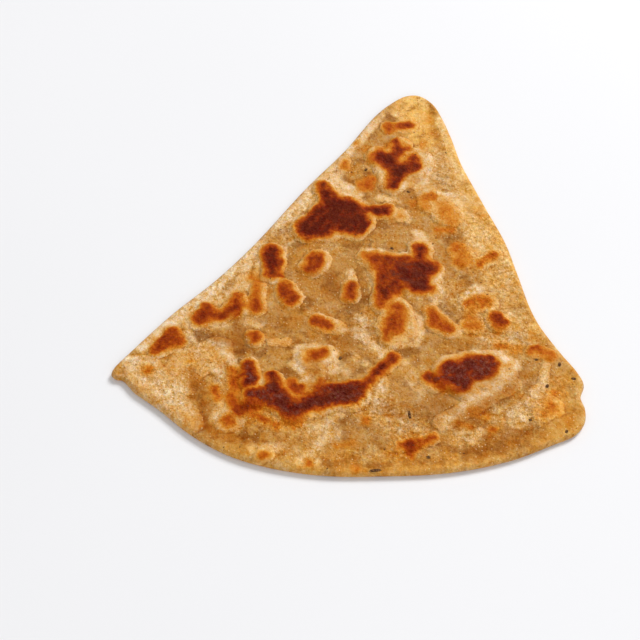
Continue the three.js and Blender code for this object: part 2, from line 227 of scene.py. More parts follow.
# %% Blisters
BLISTERS = {  # name: (rise, skirt, strokes)
    "tip pair": (0.5, 2.6, [(14.3, 72.4, 23.5, 74.1, 2.2, 2.6)]),
    "leaf": (1.1, 3.4, [
        (10.5, 56, 15, 52.4, 4, 5), (15, 52.4, 18.5, 47, 6, 6.5), (18, 47.9, 16, 41.2, 6, 4),
        (18.5, 47, 26, 54, 7, 5.5), (16.5, 55, 19.4, 62.5, 4, 3),
    ]),
    "edge bead": (0.6, 2.4, [(-3.2, 52.5, -3.8, 48.9, 1.8, 1.6)]),
    "island": (1.25, 3.6, [
        (-12.3, 38.1, -10.2, 33.5, 2.4, 3), (-10.2, 33.5, -6.7, 28.4, 3.2, 5),
        (-7.2, 27.9, -1.2, 27.5, 4.5, 4.6), (-2.2, 25.4, 4.6, 20.2, 5.5, 3.6),
        (-10.2, 23.4, -2.2, 21.9, 6, 6), (-16.3, 16.2, -10.2, 16.9, 5.6, 5.6),
        (-3.2, 18.4, 1.5, 17.3, 4.4, 4.2),
    ]),
    "island bridge": (0.75, 2.4, [(3, 26.6, 9.2, 26.2, 1.8, 1.8)]),
    "island knob": (0.95, 2.8, [(10.8, 26.1, 13.4, 26.7, 3, 3)]),
    "knob ring": (0.6, 2.2, [(18.6, 24.9, 19.4, 24.5, 2.4, 2.4)]),
    "upright": (0.95, 2.8, [
        (-30.7, 3.3, -29.4, -2.3, 3.8, 3.9), (-29.4, -2.3, -29.9, -7.3, 3.6, 3),
    ]),
    "bean": (1, 2.8, [(-12.8, 0.3, -14.8, -2.7, 4.2, 4)]),
    "teardrop": (1, 2.6, [(-24.5, -13.5, -21.8, -18.7, 2.8, 3.2)]),
    "lozenge": (0.9, 2.8, [(0.4, -7.6, -0.1, -15.6, 1.2, 2.8)]),
    "almond": (0.9, 2.8, [(-12, -28.7, -4.1, -31.1, 2.8, 1.8)]),
    "butterfly": (1.25, 3.6, [
        (6, 2.6, 10, 1.1, 2, 3), (11, 0.6, 20, 0.2, 3.8, 3.8), (12.5, -2.4, 13.7, -10.8, 4.2, 4),
        (13.7, -10.8, 11.6, -20, 3.8, 2.2), (20, -3.4, 26, -9.8, 5.2, 5.2),
        (24, -3.4, 29.6, -2.9, 5.4, 4.4), (26.8, 7.1, 26.6, 0.7, 3.4, 3),
        (30.6, -7.3, 29.9, -13.1, 2.4, 2),
    ]),
    "shoulder": (0.9, 3, [(31.9, 32.7, 38.3, 25.4, 5.4, 4.4)]),
    "right smudge": (0.55, 3, [(41.2, 7.9, 44.2, 4, 3, 3)]),
    "right streak": (0.6, 2.6, [(49.8, 1.6, 55.4, 6.4, 2.2, 2)]),
    "right dome": (0.4, 3, [(45.8, -16.7, 50.8, -16.1, 4, 4)]),
    "column": (1, 3.4, [(17.3, -21.9, 17.6, -29.8, 4.6, 6.2), (17.6, -29.8, 15.6, -35.4, 5.6, 3)]),
    "hook": (1, 2.8, [(30.2, -21.7, 32, -26.7, 1.6, 3.2), (32.8, -27.2, 37, -30.7, 3.4, 2.6)]),
    "zigzag": (0.8, 2.8, [
        (-53.7, -25.6, -55.9, -31.5, 2.2, 2.2), (-54.1, -29.6, -47.1, -28.1, 2.4, 1.8),
        (-47.1, -28.1, -41.6, -19.7, 2, 2.2), (-40.4, -22.8, -34.6, -24, 1.6, 2.4),
        (-34.6, -14, -34.6, -24, 1.8, 2.4),
    ]),
    "corner patch": (0.8, 2.8, [
        (-64.8, -36.3, -64.4, -40.3, 2, 3.2), (-64.6, -40.5, -70, -44.6, 3, 2),
    ]),
    "corner dot": (0.55, 2.6, [(-73.6, -53.4, -71.4, -53.4, 2, 2.2)]),
    "ringed dot": (0.95, 2, [(-34.6, -37.2, -34.3, -37.6, 2.9, 2.9)]),
    "flat ring": (0.6, 1.8, [(-27.8, -38.6, -22.9, -38, 1.1, 1.3)]),
    "crescent": (1.05, 3, [(-9, -43.3, -13.5, -45.5, 3, 4.2)]),
    "crescent foot": (0.3, 3, [(-13.5, -46.9, -12.4, -53.1, 4.4, 3.4)]),
    "pillar": (1, 2.8, [(-35.7, -49.6, -35, -56.6, 2.4, 3)]),
    "band": (1.1, 3.2, [
        (-27.4, -54.5, -24.5, -60.8, 2.2, 3), (-34.5, -63, -24.5, -63.4, 3, 3.6),
        (-24.5, -63.4, -19.6, -68.1, 3.8, 4), (-19.6, -67.8, -11.4, -65.4, 3.4, 3.2),
        (-11.4, -65.4, -5.5, -61.8, 3.6, 4.4), (-5.5, -61.8, 2, -60.5, 4.4, 5),
    ]),
    "band arm": (0.8, 2.2, [(5.2, -57, 10.6, -50.5, 1.2, 1.4), (10.6, -50.5, 16.4, -44, 1.5, 2.1)]),
    "orange dot": (0.8, 3, [(-41.7, -72.9, -41.9, -74.7, 2.6, 2.6)]),
    "great oval": (1.4, 4, [
        (38.5, -49.6, 50.4, -46.6, 6.4, 6), (46.5, -49.1, 53.4, -48.3, 6.4, 6),
        (37.1, -51.9, 42.1, -56, 4, 3.6),
    ]),
    "oval satellite": (0.8, 2.4, [(28.9, -52.4, 31.3, -55.4, 2, 2.4)]),
    "round": (0.9, 2.6, [(54.6, -24.5, 55.6, -26.3, 3.1, 3.1)]),
    "round neighbour": (0.5, 2.6, [(43.8, -28.3, 46.8, -27.7, 2.4, 2.4)]),
    "corner twins": (0.6, 2.4, [(67.6, -38.3, 73.2, -39.7, 2, 1.6)]),
    "lobe patch": (0.6, 3.2, [(69.5, -64.9, 72.9, -62.5, 3, 3)]),
    "long ridge": (0.6, 3.4, [(60, -53.3, 33.9, -70.6, 1.4, 2.2)]),
    "base streak": (0.7, 2.4, [(18.8, -81.3, 30.2, -77.3, 1.6, 1.2)]),
    "base dot": (0.65, 2.8, [(-28.6, -86.4, -28, -86.4, 2, 2)]),
    "left lumps": (0.5, 1.8, [
        (-64, -57.6, -60.5, -57.2, 1.3, 1.5), (-60.5, -57.2, -57.2, -61.6, 1.6, 1.5),
        (-51, -49.4, -48, -52.2, 1.4, 1.3), (-47.6, -40.6, -45.6, -41.4, 0.9, 1),
        (-45.6, -41.4, -43.4, -46.2, 1, 1), (-47.4, -63.6, -45.8, -66.4, 0.5, 0.5),
    ]),
    "left swelling": (0.55, 3.4, [
        (-74, -53, -62.5, -66, 5, 4.6), (-62.5, -66, -54.6, -75, 4.6, 2.8),
    ]),
    "corner swell": (0.45, 1.8, [
        (72, -45.6, 70.2, -52.6, 1.2, 1.6), (70.2, -52.6, 65.8, -61, 1.6, 2),
    ]),
    "base swell": (0.4, 1.8, [(47, -73.6, 43.4, -78.4, 0.9, 0.8)]),
    "inner swelling": (0.6, 4, [(-47.8, -43.5, -58, -50.9, 4, 6)]),
}
SKIRT_SHARE = 0.6  # how wide the skirt is, as a share of the plain solid's
BLEND_POWER = 4  # how sharply neighbouring blisters meet


def stroke_distance(stroke, x, y):
    """Distance from points to a stroke's edge, less than 0 inside it."""
    x1, y1, x2, y2, r1, r2 = stroke[:6]
    dx, dy = x2 - x1, y2 - y1
    t = np.clip(((x - x1) * dx + (y - y1) * dy) / max(dx * dx + dy * dy, 1e-6), 0, 1)
    return np.hypot(x - x1 - t * dx, y - y1 - t * dy) - r1 - t * (r2 - r1)


def blisters_height(x, y):
    """Height of all blisters over points: the power sum rounds the grooves between them."""
    total = np.zeros_like(x)
    for rise, skirt, strokes in BLISTERS.values():
        nearest = np.min([stroke_distance(stroke, x, y) for stroke in strokes], axis=0)
        down = np.clip(nearest / (SKIRT_SHARE * skirt), 0, 1)
        total += (rise * (1 - down**2)) ** BLEND_POWER
    return total ** (1 / BLEND_POWER)


print(len(BLISTERS), "blisters, the highest", max(b[0] for b in BLISTERS.values()), "mm")

# %% [markdown]
# ## Small relief
#
# Between the blisters the dough carries hundreds of small bubbles and a fine leathery grain, and
# where it is crumbly, crumbs with creases between them. A displacement modifier could lift them
# from a texture, but arrays of heights also tell the finish where each bubble and crumb is,
# because their tops dry out paler than the dough.

# %% Small relief
BUBBLES = 2600
BUBBLE_RADIUS = (0.6, 1.6)
BUBBLE_RISE = (0.05, 0.22)
SMOOTH_SHARE = 0.2  # share of the bubbles that smooth dough has too
GRAIN = [(5.0, 0.13), (2.2, 0.08), (1.2, 0.05)]  # width and height of each grade of grain
LUMPS = [(3.6, 0.6), (1.8, 0.4)]  # width and share of each grade of crumb
LUMP_RISE = 0.4
LUMP_LEVEL = 0.3  # lumps of this height are level with the plain dough
CRUMBLY = {  # x, y, to x, y, half widths and how crumbly the dough is there
    "tip": [(22, 84, 34, 72, 7, 7, 0.15), (34, 66, 42, 44, 6, 7, 0.3)],
    "left corner": [(-76, -50, -60, -64, 5, 6, 0.7), (-56, -40, -48, -52, 7, 8, 0.45)],
    "left edge": [(-62, -26, -12, 36, 3, 4, 0.6)],
    "right side": [(50, 18, 60, -6, 8, 9, 0.7), (40, -14, 66, -30, 7, 7, 0.6)],
    "lower right": [
        (42, -76, 56, -70, 7, 8, 0.55), (60, -68, 74, -54, 8, 7, 0.6),
        (50, -33.5, 61, -35, 4, 4, 0.8),
    ],
    "under the band": [(6, -62, 22, -74, 7, 8, 0.8), (-34, -70, -10, -76, 5, 5, 0.6)],
    "base": [(-24, -86, 40, -86, 3, 4, 0.5)],
    "beside the column": [(4, -24, 8, -38, 4, 4, 0.6)],
}
CRUMBLY_SPAN = (6, -5)  # it turns crumbly between these distances from a stroke's edge
WARP = [(7.0, 0.7), (2.6, 0.4), (1.4, 0.2)]  # width and reach of what makes edges waver


def crumbliness(x, y):
    """How crumbly the dough is over points, from 0 for smooth to 1."""
    strokes = [stroke for group in CRUMBLY.values() for stroke in group]
    shares = [s[6] * smooth_step(*CRUMBLY_SPAN, stroke_distance(s, x, y)) for s in strokes]
    return np.max(shares, axis=0)


rng = np.random.default_rng(7)
bubble_place = rng.uniform(edge.min(axis=0), edge.max(axis=0), (BUBBLES, 2))
bubble_radius = rng.uniform(*BUBBLE_RADIUS, BUBBLES)
bubble_rise = rng.uniform(*BUBBLE_RISE, BUBBLES)
stand_share = SMOOTH_SHARE + (1 - SMOOTH_SHARE) * crumbliness(*bubble_place.T)
bubble_rise *= rng.random(BUBBLES) < stand_share


def wavered(x, y):
    """Points pushed about a little, so that nothing drawn over them has an even edge."""
    dx = sum(reach * noise(x, y, size, 11 + k) for k, (size, reach) in enumerate(WARP))
    dy = sum(reach * noise(x, y, size, 21 + k) for k, (size, reach) in enumerate(WARP))
    return x + dx, y + dy


def bubbles_height(x, y):
    """Height of the small bubbles over points."""
    height = np.zeros_like(x)
    for (bx, by), radius, rise in zip(bubble_place, bubble_radius, bubble_rise):
        near = np.flatnonzero((np.abs(x - bx) < radius) & (np.abs(y - by) < radius))
        away = np.hypot(x[near] - bx, y[near] - by) / radius
        height[near] = np.maximum(height[near], rise * smooth_step(1, 0, away))
    return height


def lumps(x, y):
    """Crumbs with creases between them: 0 in a crease, about 0.7 on a crumb."""
    return sum(share * np.abs(noise(x, y, size, 71 + k)) for k, (size, share) in enumerate(LUMPS))


def grain_height(x, y, seed):
    """Height of the leathery grain over points."""
    return sum(rise * noise(x, y, size, seed + k) for k, (size, rise) in enumerate(GRAIN))


print(np.count_nonzero(bubble_rise), "bubbles stand, up to", round(bubble_rise.max(), 2), "mm high")

# %% [markdown]
# ## Heights of the two faces
#
# The upper face is the dough, a little thicker along its edge, with slow waves, blisters, bubbles,
# crumbs and grain on it. The underside lies level, with shallow hollows where the dough stands off
# what it lies on. Both round off to the rim in a quarter of an ellipse.

# %% Heights
DOUGH = 2.7  # thickness of plain dough, in millimetres like all that follows
RIM_ROUND = 1.7  # how far in from the edge the rim rounds off
RIM_MIDDLE = 1.25  # height of the edge itself
THICK_EDGE = 0.35  # how much thicker the dough is at its edge
THICK_EDGE_REACH = 9
SWAY = 0.28  # height of the slow waves
WAVES = [(15, 31, 0, 1), (-40, 12, 1.3, 0.7)]  # reach along x and y, start and share of each
UNDER_HOLLOW = 0.55  # depth of a hollow
HOLLOW_LEVEL = 0.45  # a hollow is level within this share of its reach
UNDER_HOLLOWS = [  # x, y, half length, half width, direction in degrees
    (-48, -46, 17, 8, 30), (-8, -70, 20, 7, 0), (52, -58, 18, 8, 25), (54, -12, 16, 6, 100),
    (-30, -12, 13, 6, 55), (20, 48, 15, 6, 80), (24, -38, 12, 6, 150), (-6, 30, 11, 5, 40),
]
HIGHEST = 4.34  # no grain or bubble on a blister stands above this


def rim_rounding(inset):
    """0 at the edge, 1 where the rim has rounded off."""
    return np.sqrt(1 - (1 - np.clip(inset / RIM_ROUND, 0, 1)) ** 2)


def top_height(x, y, inset):
    """Height of the upper face over points that lie inset from the edge."""
    wx, wy = wavered(x, y)
    wave = sum(share * np.sin(x / along + y / across + start) for along, across, start, share in WAVES)
    wave = SWAY * wave / sum(share for *_, share in WAVES)
    crumbs = LUMP_RISE * (lumps(x, y) - LUMP_LEVEL) * crumbliness(x, y)
    relief = blisters_height(wx, wy) + bubbles_height(x, y) + grain_height(x, y, 31) + crumbs
    thick = THICK_EDGE * smooth_step(THICK_EDGE_REACH, 0, inset)
    level = DOUGH + thick + (wave + relief) * smooth_step(0, 2 * RIM_ROUND, inset)
    return RIM_MIDDLE + (np.minimum(level, HIGHEST) - RIM_MIDDLE) * rim_rounding(inset)


def hollows(x, y):
    """How deep points lie in the hollows of the underside, from 0 to 1."""
    depth = np.zeros_like(x)
    for cx, cy, half_length, half_width, degrees in UNDER_HOLLOWS:
        c, s = math.cos(math.radians(degrees)), math.sin(math.radians(degrees))
        u, v = (x - cx) * c + (y - cy) * s, (y - cy) * c - (x - cx) * s
        depth = np.maximum(depth, smooth_step(1, HOLLOW_LEVEL, np.hypot(u / half_length, v / half_width)))
    return depth


def under_height(x, y, inset):
    """Height of the underside over points that lie inset from the edge."""
    pressed = np.abs(grain_height(x, y, 41)) * smooth_step(0, 2 * RIM_ROUND, inset)
    rim = RIM_MIDDLE * (1 - rim_rounding(inset))
    return rim + pressed + UNDER_HOLLOW * hollows(*wavered(x, y))


probe = np.array([0.0, 1.0, 5.0])
heights = top_height(np.zeros(3), np.zeros(3), probe)
print("upper face", probe, "mm in from the edge is", np.round(heights, 2), "mm high")

# %% [markdown]
# ## The sheet of dough
#
# A sheet like this could be a grid cut off at the outline, but then its rim would be ragged. Rings
# that shrink from the rim to the heart of the bread follow the edge exactly. Each ring has six
# points more than the one inside it, so the triangles stay about the same size all over, and one
# function joins any two rings, whatever their numbers of points.

# %% Sheet of dough
HEART = np.array((8.0, -14.0))
SECTORS = 6
TOP_RINGS = 165
UNDER_RINGS = 60
RIM_HALF = 3  # loops from a face to the middle of the rim

loops, places, insets, is_top = [], [], [], []


def add_loop(place, inset, top):
    """Keeps a loop's points and the numbers that they get."""
    start = sum(len(p) for p in places)
    loops.append(np.arange(start, start + len(place)))
    places.append(place)
    insets.append(np.broadcast_to(inset, len(place)))
    is_top.append(np.full(len(place), top))


def add_face_ring(ring, rings, top):
    """A ring of a face: the outline inside the rim, shrunk towards the heart."""
    rim = outline_points(max(1, ring * SECTORS), RIM_ROUND)
    scale = ring / rings
    inset = RIM_ROUND + (1 - scale) * np.linalg.norm(rim - HEART, axis=1)
    add_loop(HEART + scale * (rim - HEART), inset, top)


def bridge(a, b):
    """Triangles that join two loops of points, whatever their numbers of points."""
    steps_a = (np.arange(len(a)) + 0.5) / len(a) if len(a) > 1 else np.empty(0)
    steps_b = (np.arange(len(b)) + 0.5) / len(b) if len(b) > 1 else np.empty(0)
    on_a = np.append(np.ones(len(steps_a), bool), np.zeros(len(steps_b), bool))
    on_a = on_a[np.argsort(np.append(steps_a, steps_b), kind="stable")]
    i, j = np.cumsum(on_a) - on_a, np.cumsum(~on_a) - ~on_a
    third = np.where(on_a, a[(i + 1) % len(a)], b[(j + 1) % len(b)])
    return np.stack([a[i % len(a)], b[j % len(b)], third], axis=1)


for ring in range(TOP_RINGS + 1):
    add_face_ring(ring, TOP_RINGS, True)
quarter_turn = np.arange(1, RIM_HALF + 1) / RIM_HALF * np.pi / 2
rim_insets = RIM_ROUND * (1 - np.sin(quarter_turn))
for inset in rim_insets:
    add_loop(outline_points(TOP_RINGS * SECTORS, inset), inset, True)
for inset in rim_insets[-2::-1]:
    add_loop(outline_points(TOP_RINGS * SECTORS, inset), inset, False)
for ring in range(UNDER_RINGS, -1, -1):
    add_face_ring(ring, UNDER_RINGS, False)

triangles = np.vstack([bridge(a, b) for a, b in zip(loops, loops[1:])])
xy, inset, upper = np.vstack(places), np.concatenate(insets), np.concatenate(is_top)
x, y = xy.T
z = np.where(upper, top_height(x, y, inset), under_height(x, y, inset))
print(len(triangles), "triangles, top at", round(z.max(), 2), "mm")

# %% [markdown]
# ## Scorches
#
# Only the tops of the blisters touched the hot pan, so the brown marks sit inside them. They are
# drawn with the same pen as the blisters, with one more number for how dark the mark is, from 0
# for plain dough to 1 for the darkest brown. A dot needs only its middle, its radius and its
# darkness. Painting them in a picture would be the other way, but a list is easy to correct.

# %% Scorches
SCORCHES = {
    "tip pair": [
        (14, 73, 15.2, 70.9, 1.7, 1.7, 0.77), (16, 74.9, 0.5, 0.32),
        (19.5, 73.6, 23.5, 74.2, 1.9, 2.1, 0.82), (31, 78.3, 2, 0.32), (28.6, 63.6, 1.8, 0.28),
        (33, 70, 2.6, 0.14), (5, 60, 2, 0.25),
    ],
    "leaf": [
        (10.5, 55.5, 14.5, 52.9, 2.9, 2.9, 0.97), (14.5, 52.9, 18, 47.5, 3.5, 3.5, 0.97),
        (18, 47.5, 15.7, 39.4, 2.9, 2.3, 0.92), (18, 47.5, 24.5, 51.5, 3.2, 3.2, 0.97),
        (24.5, 51.5, 25, 54.5, 2.7, 1.9, 0.87), (16.5, 53.9, 18.5, 60.2, 1.5, 1.5, 0.92),
        (18.5, 60.2, 17.3, 64.1, 1.5, 1.3, 0.87), (18.5, 58.6, 21.9, 60.2, 1.3, 1.3, 0.92),
        (11, 60.1, 13.9, 61.2, 0.9, 0.9, 0.44), (8, 54, 1.7, 0.48),
    ],
    "left edge": [
        (-3.3, 52.2, -3.7, 49.2, 1.2, 1.2, 0.45), (1.2, 62.4, 0.8, 0.5), (3, 40.2, 0.7, 0.9),
        (7.5, 41.5, 8.5, 43.6, 1.6, 1.6, 0.42), (5.1, 39.2, 7, 42, 2.6, 2.6, 0.42),
    ],
    "island": [
        (-12.2, 38.6, -10.5, 34, 1.8, 2.4, 0.9), (-10.5, 34, -7.2, 28.4, 2.6, 4, 1),
        (-7.2, 28.4, -1.2, 28, 4, 4, 1), (-2.2, 25.4, 4.5, 20.2, 5, 3, 1),
        (-10.2, 23.4, -2.2, 22.4, 5.5, 5.5, 1), (-16.1, 15.1, -11.2, 16.5, 5, 5, 1),
        (-18.6, 17.6, -13.2, 23.4, 2.5, 2.5, 1), (-3.2, 18.4, 1.4, 17, 4, 4, 1),
        (1.9, 26.6, 8.2, 26.4, 1.6, 1.6, 1), (10.7, 26.1, 13.2, 26.7, 2.8, 2.8, 0.95),
    ],
    "upright": [
        (-30.6, 3.2, -29.4, -2.3, 3.6, 3.5, 0.89), (-29.4, -2.3, -30, -7.3, 3.1, 2.6, 0.89),
        (-26.5, -8.3, 0.7, 0.8),
    ],
    "bean": [(-13.2, 0.6, -15.2, -3.1, 3.7, 3.7, 0.69)],
    "teardrop": [(-24.6, -13.8, -21.9, -18.8, 2.6, 2.8, 0.84), (-25.2, -12, 1.2, 0.62)],
    "lozenge": [(0.3, -12, -0.4, -16.6, 1.9, 2.2, 0.72)],
    "rough ground by the zigzag": [
        (-35.2, -11, -35.5, -19.9, 1.5, 1.6, 0.5), (-35.5, -19.9, -34.6, -24, 2, 2.2, 0.65),
        (-41.3, -22.7, -35.5, -22, 1.3, 1.3, 0.6), (-37.9, -8.6, 2, 0.35),
    ],
    "zigzag": [
        (-53.6, -24.6, -54.3, -28.6, 1.9, 2.9, 0.75), (-54.5, -28.6, -56.3, -31.4, 2.6, 1.6, 0.73),
        (-54.1, -28.2, -47.1, -27.4, 2.3, 1.7, 0.72), (-47.1, -27.2, -43.2, -24.4, 1.8, 2.5, 0.72),
        (-43.2, -24.4, -42, -18.1, 2.6, 2, 0.73),
    ],
    "corner patch": [
        (-65.2, -35.3, -64.8, -38.9, 1.8, 3.3, 0.76), (-65, -39.7, -70.4, -43.8, 3.3, 2.1, 0.76),
        (-64, -39.7, -61.8, -40.1, 2.3, 1.3, 0.69),
    ],
    "corner dot": [(-71.7, -53.4, 1.8, 0.65), (-73.5, -53.4, 1.5, 0.4)],
    "ringed dot": [(-34.4, -37.1, 2.7, 0.71)],
    "flat ring": [(-26.8, -38.6, -23.4, -38.1, 0.8, 0.8, 0.25)],
    "butterfly": [
        (5.5, 2.9, 9, 1.1, 1.5, 2, 0.6), (10.5, 0.6, 20, 0.6, 3.2, 3.2, 0.7),
        (12.1, -2.4, 13.8, -10.8, 3.6, 3.6, 0.72), (16.1, -4.4, 20, -6.4, 4, 4, 0.8),
        (13.8, -10.8, 12.9, -16, 3.6, 2.8, 0.9), (12.9, -16, 11.4, -20.5, 2.4, 1.8, 0.75),
        (20, -3.4, 26, -10.4, 4.6, 4.4, 1), (24, -3.4, 29.5, -2.8, 5, 3.5, 1),
        (26.7, 7, 26.5, 1.7, 2.9, 2.4, 0.9), (29, -1.3, 32.5, 0.5, 2.6, 1.3, 0.9),
        (17.1, -8.6, 17.3, -11.7, 3, 2.4, 0.8), (30.9, -13, 2, 0.5),
    ],
    "shoulder": [
        (29.6, 33.6, 32.6, 34.9, 1.7, 1.7, 0.5), (31.6, 35.4, 1.3, 0.58), (37, 29.4, 1.2, 0.36),
        (36.5, 28.4, 38.9, 23.3, 3.6, 3.8, 0.27), (33.7, 17.6, 39.7, 18.2, 1.2, 1.4, 0.42),
        (24.6, 32.1, 28.9, 29.3, 2, 2, 0.3), (19.2, 24.4, 1.3, 0.3), (50, 29.5, 1.4, 0.34),
        (51.2, 25.8, 0.8, 0.34),
    ],
    "right smudges": [
        (40.4, 8, 1.3, 0.85), (41, 10.2, 1, 0.7), (43.8, 5.2, 1.2, 0.75), (41.3, 2, 1.4, 0.55),
        (41.8, 8.5, 43.8, 2.5, 3.4, 3, 0.25), (49.8, 1.4, 55.3, 6.4, 1.6, 1.6, 0.62),
        (45.3, -17.1, 50.8, -16.1, 2.8, 2.8, 0.4), (46, -19, 45.6, -25, 1.8, 1.6, 0.34),
        (43.8, -28.4, 46.8, -27.6, 2, 2, 0.42), (55.9, -36.2, 61.2, -38.1, 2.1, 2.1, 0.4),
    ],
    "round": [
        (54.6, -24.1, 55.6, -26.1, 2.7, 2.7, 0.85), (57.8, -26.4, 0.8, 0.85),
        (55.3, -29.1, 1.5, 0.4),
    ],
    "column": [
        (17.3, -22.9, 16.4, -29.8, 3.9, 3.9, 0.59), (15.6, -29.8, 13.6, -35.8, 2.9, 1.3, 0.57),
    ],
    "hook": [
        (30.1, -21.2, 32.2, -26.1, 1.6, 3, 0.5), (32.8, -26.9, 36.6, -30.2, 3.4, 2.6, 0.6),
        (37.1, -29.7, 0.8, 0.59),
    ],
    "almond": [(-12.6, -28.7, -7.6, -30.5, 2.3, 1.9, 0.84)],
    "crescent": [
        (-9.4, -42.4, -13.4, -43.9, 1.7, 1.8, 0.65), (-13.4, -43.9, -15.5, -45.9, 1.5, 1.5, 0.4),
        (-8.9, -42.9, 1.3, 0.75),
    ],
    "pillar": [
        (-36.2, -50.4, -35.1, -56, 2.4, 3.2, 1), (-41.8, -52, -40.2, -59.5, 1.8, 2.8, 0.48),
        (-41, -63, -39, -68, 2.2, 2.4, 0.5), (-47.5, -59.3, -46.5, -64.2, 1.3, 1.3, 0.55),
    ],
    "band": [
        (-27.8, -53.4, -25.9, -59.9, 1.6, 2.8, 1), (-33.5, -62.4, -25.5, -63.3, 3.4, 3.8, 0.9),
        (-25.5, -63.3, -19.6, -67.8, 3.8, 3.6, 1), (-19.6, -67.8, -11.4, -64.8, 3, 3, 1),
        (-11.4, -64.3, -5.5, -60.8, 3.4, 4.4, 1), (-5.5, -60.8, 1.6, -59.9, 4.4, 4.6, 1),
        (-32.7, -66, -38.2, -68.3, 3, 2.6, 0.65), (-20.6, -70.7, -18.7, -72.1, 2, 1.4, 0.8),
        (-41.8, -73.6, 2.3, 0.62), (5.3, -56.9, 10.5, -50.6, 1.3, 1.5, 1),
        (10.5, -50.6, 16.3, -43.7, 1.6, 2.2, 0.95), (-19.2, -57.2, -16.9, -58.6, 1.6, 2.2, 0.85),
        (-20.7, -55.7, 1.2, 0.5), (-10.2, -58.7, -10, -55.5, 1.6, 0.8, 0.7),
        (-33, -70.6, -24.8, -74.8, 1.2, 1.2, 0.58), (-19.7, -71.6, -17.6, -72.8, 1.8, 1.8, 0.3),
    ],
    "great oval": [
        (38, -49.4, 50.8, -46.4, 5.2, 4.2, 0.95), (37.5, -52, 41.5, -55.5, 3.4, 2.8, 1),
        (44.5, -46.5, 47.5, -48.5, 4.5, 3.4, 0.95), (39, -51, 46, -49.6, 3, 2.4, 0.92),
        (35, -55.9, 38.5, -56.9, 1.8, 1.8, 0.7), (57.9, -46, 0.9, 0.4),
        (28.9, -51.3, 31.5, -54.3, 1.8, 2.2, 0.8), (32.5, -53.3, 35.5, -53.4, 1.6, 1.6, 0.75),
    ],
    "blunt corner": [
        (67, -38.6, 68.7, -37.6, 1.5, 1.5, 0.74), (70.7, -39.1, 74.2, -39.9, 1, 1, 0.6),
        (73.2, -41.1, 2, 0.35), (71.8, -62.9, 1.5, 0.55),
        (69.5, -64.9, 72.5, -62.9, 2.8, 2.8, 0.28), (74.1, -56.9, 1.6, 0.4), (51.5, -73.1, 1, 0.65),
        (44.6, -66, 48.5, -67.8, 1.8, 1.8, 0.3), (39, -70.8, 44, -71.8, 0.8, 0.8, 0.5),
    ],
    "base": [
        (18.8, -81.3, 22.8, -81.1, 0.8, 1.8, 0.85), (22.8, -80.6, 30.3, -77.2, 1.7, 0.8, 0.8),
        (22.6, -81.6, 22.1, -84.1, 1.5, 0.8, 0.85), (-28.4, -86.8, 1.4, 0.6),
        (-12.9, -89.6, 1.1, 0.55), (3.6, -90.7, 1.8, 0.34), (-3, -81.6, 2, -80.6, 1.2, 1.2, 0.2),
        (12.8, -83.8, 17.8, -82.7, 2, 2, 0.22), (7, -70.5, 2, 0.45),
    ],
}
print(sum(len(marks) for marks in SCORCHES.values()), "marks in", len(SCORCHES), "scorches")

# %% [markdown]
# ## From strokes to shades
#
# The distance of a point to a stroke says how dark the point is. A scorch grows quickly at its
# edge and slowly towards its core, and noise makes each of the two wander in its own way. Round it
# the dough dried out, which leaves a pale ring. The shades are worked out at the points of the
# mesh, so the mesh has to be about as fine as the finest mark.

# %% From strokes to shades
FILLET = 0.9  # how widely the strokes of one scorch run into each other
SCORCH_EDGE = (1.6, -0.4)  # a scorch grows quickly to half its brown between these distances
SCORCH_CORE = (0.3, -2.4)  # and slowly to its full brown between these
PALE_RING = (0.6, 1.6, 3.1)  # the dry ring round it: where it starts, its crest and its end
WANDER = [(2.2, 0.3), (3.4, 0.5)]  # width and reach of the wandering of the edge, and of the core
RING_STRENGTH = (0.3, 0.75)  # marks this dark begin to have a ring, and have all of it
RING_LOSS = 0.3  # share of the ring that the darkest marks lose again
RING_LOSS_SPAN = (0.85, 1)


def stroke_groups(groups, x, y):
    """For each group: the distance of points to it, less than 0 inside, and its strength there.

    In a group the distances are blended, so that strokes meet in rounded corners. A mark of four
    numbers is a dot. The clip keeps the exponential within what a number can hold."""
    for marks in groups.values():
        near, strength = np.full_like(x, 1e-9), np.zeros_like(x)
        for mark in marks:
            if len(mark) == 4:
                mark = (*mark[:2], *mark[:2], mark[2], mark[2], mark[3])
            weight = np.exp(-np.clip(stroke_distance(mark, x, y), -20, 15) / FILLET)
            near += weight
            strength += mark[6] * weight
        yield -FILLET * np.log(near), strength / near


def drawn(groups, x, y, edge_span, core_span=None, shifts=(0, 0)):
    """The strongest of the groups over points: half of it grows over either span of distances."""
    edge_start, edge_end = edge_span
    core_start, core_end = core_span or edge_span
    shades = [
        s * (np.clip((d + shifts[0] - edge_start) / (edge_end - edge_start), 0, 1)
             + np.clip((d + shifts[1] - core_start) / (core_end - core_start), 0, 1)) / 2
        for d, s in stroke_groups(groups, x, y)
    ]
    return np.max(shades, axis=0)


def rings_round(groups, x, y, inner, crest, outer):
    """Rings round the groups: nothing at the inner and outer distance, most at the crest."""
    rings = [
        (smooth_step(*RING_STRENGTH, s) - RING_LOSS * smooth_step(*RING_LOSS_SPAN, s))
        * smooth_step(inner, crest, d) * smooth_step(outer, crest, d)
        for d, s in stroke_groups(groups, x, y)
    ]
    return np.max(rings, axis=0)


print("a ring is", round(PALE_RING[2] - PALE_RING[0], 1), "mm wide, with its crest", PALE_RING[1], "mm out")

# %% [markdown]
# ## Dry dough
#
# Dough that rose but never touched the pan stays pale and dry: the flanks of blisters, ridges and
# puffed ground. The dry stretches are drawn softly, with the same pen.

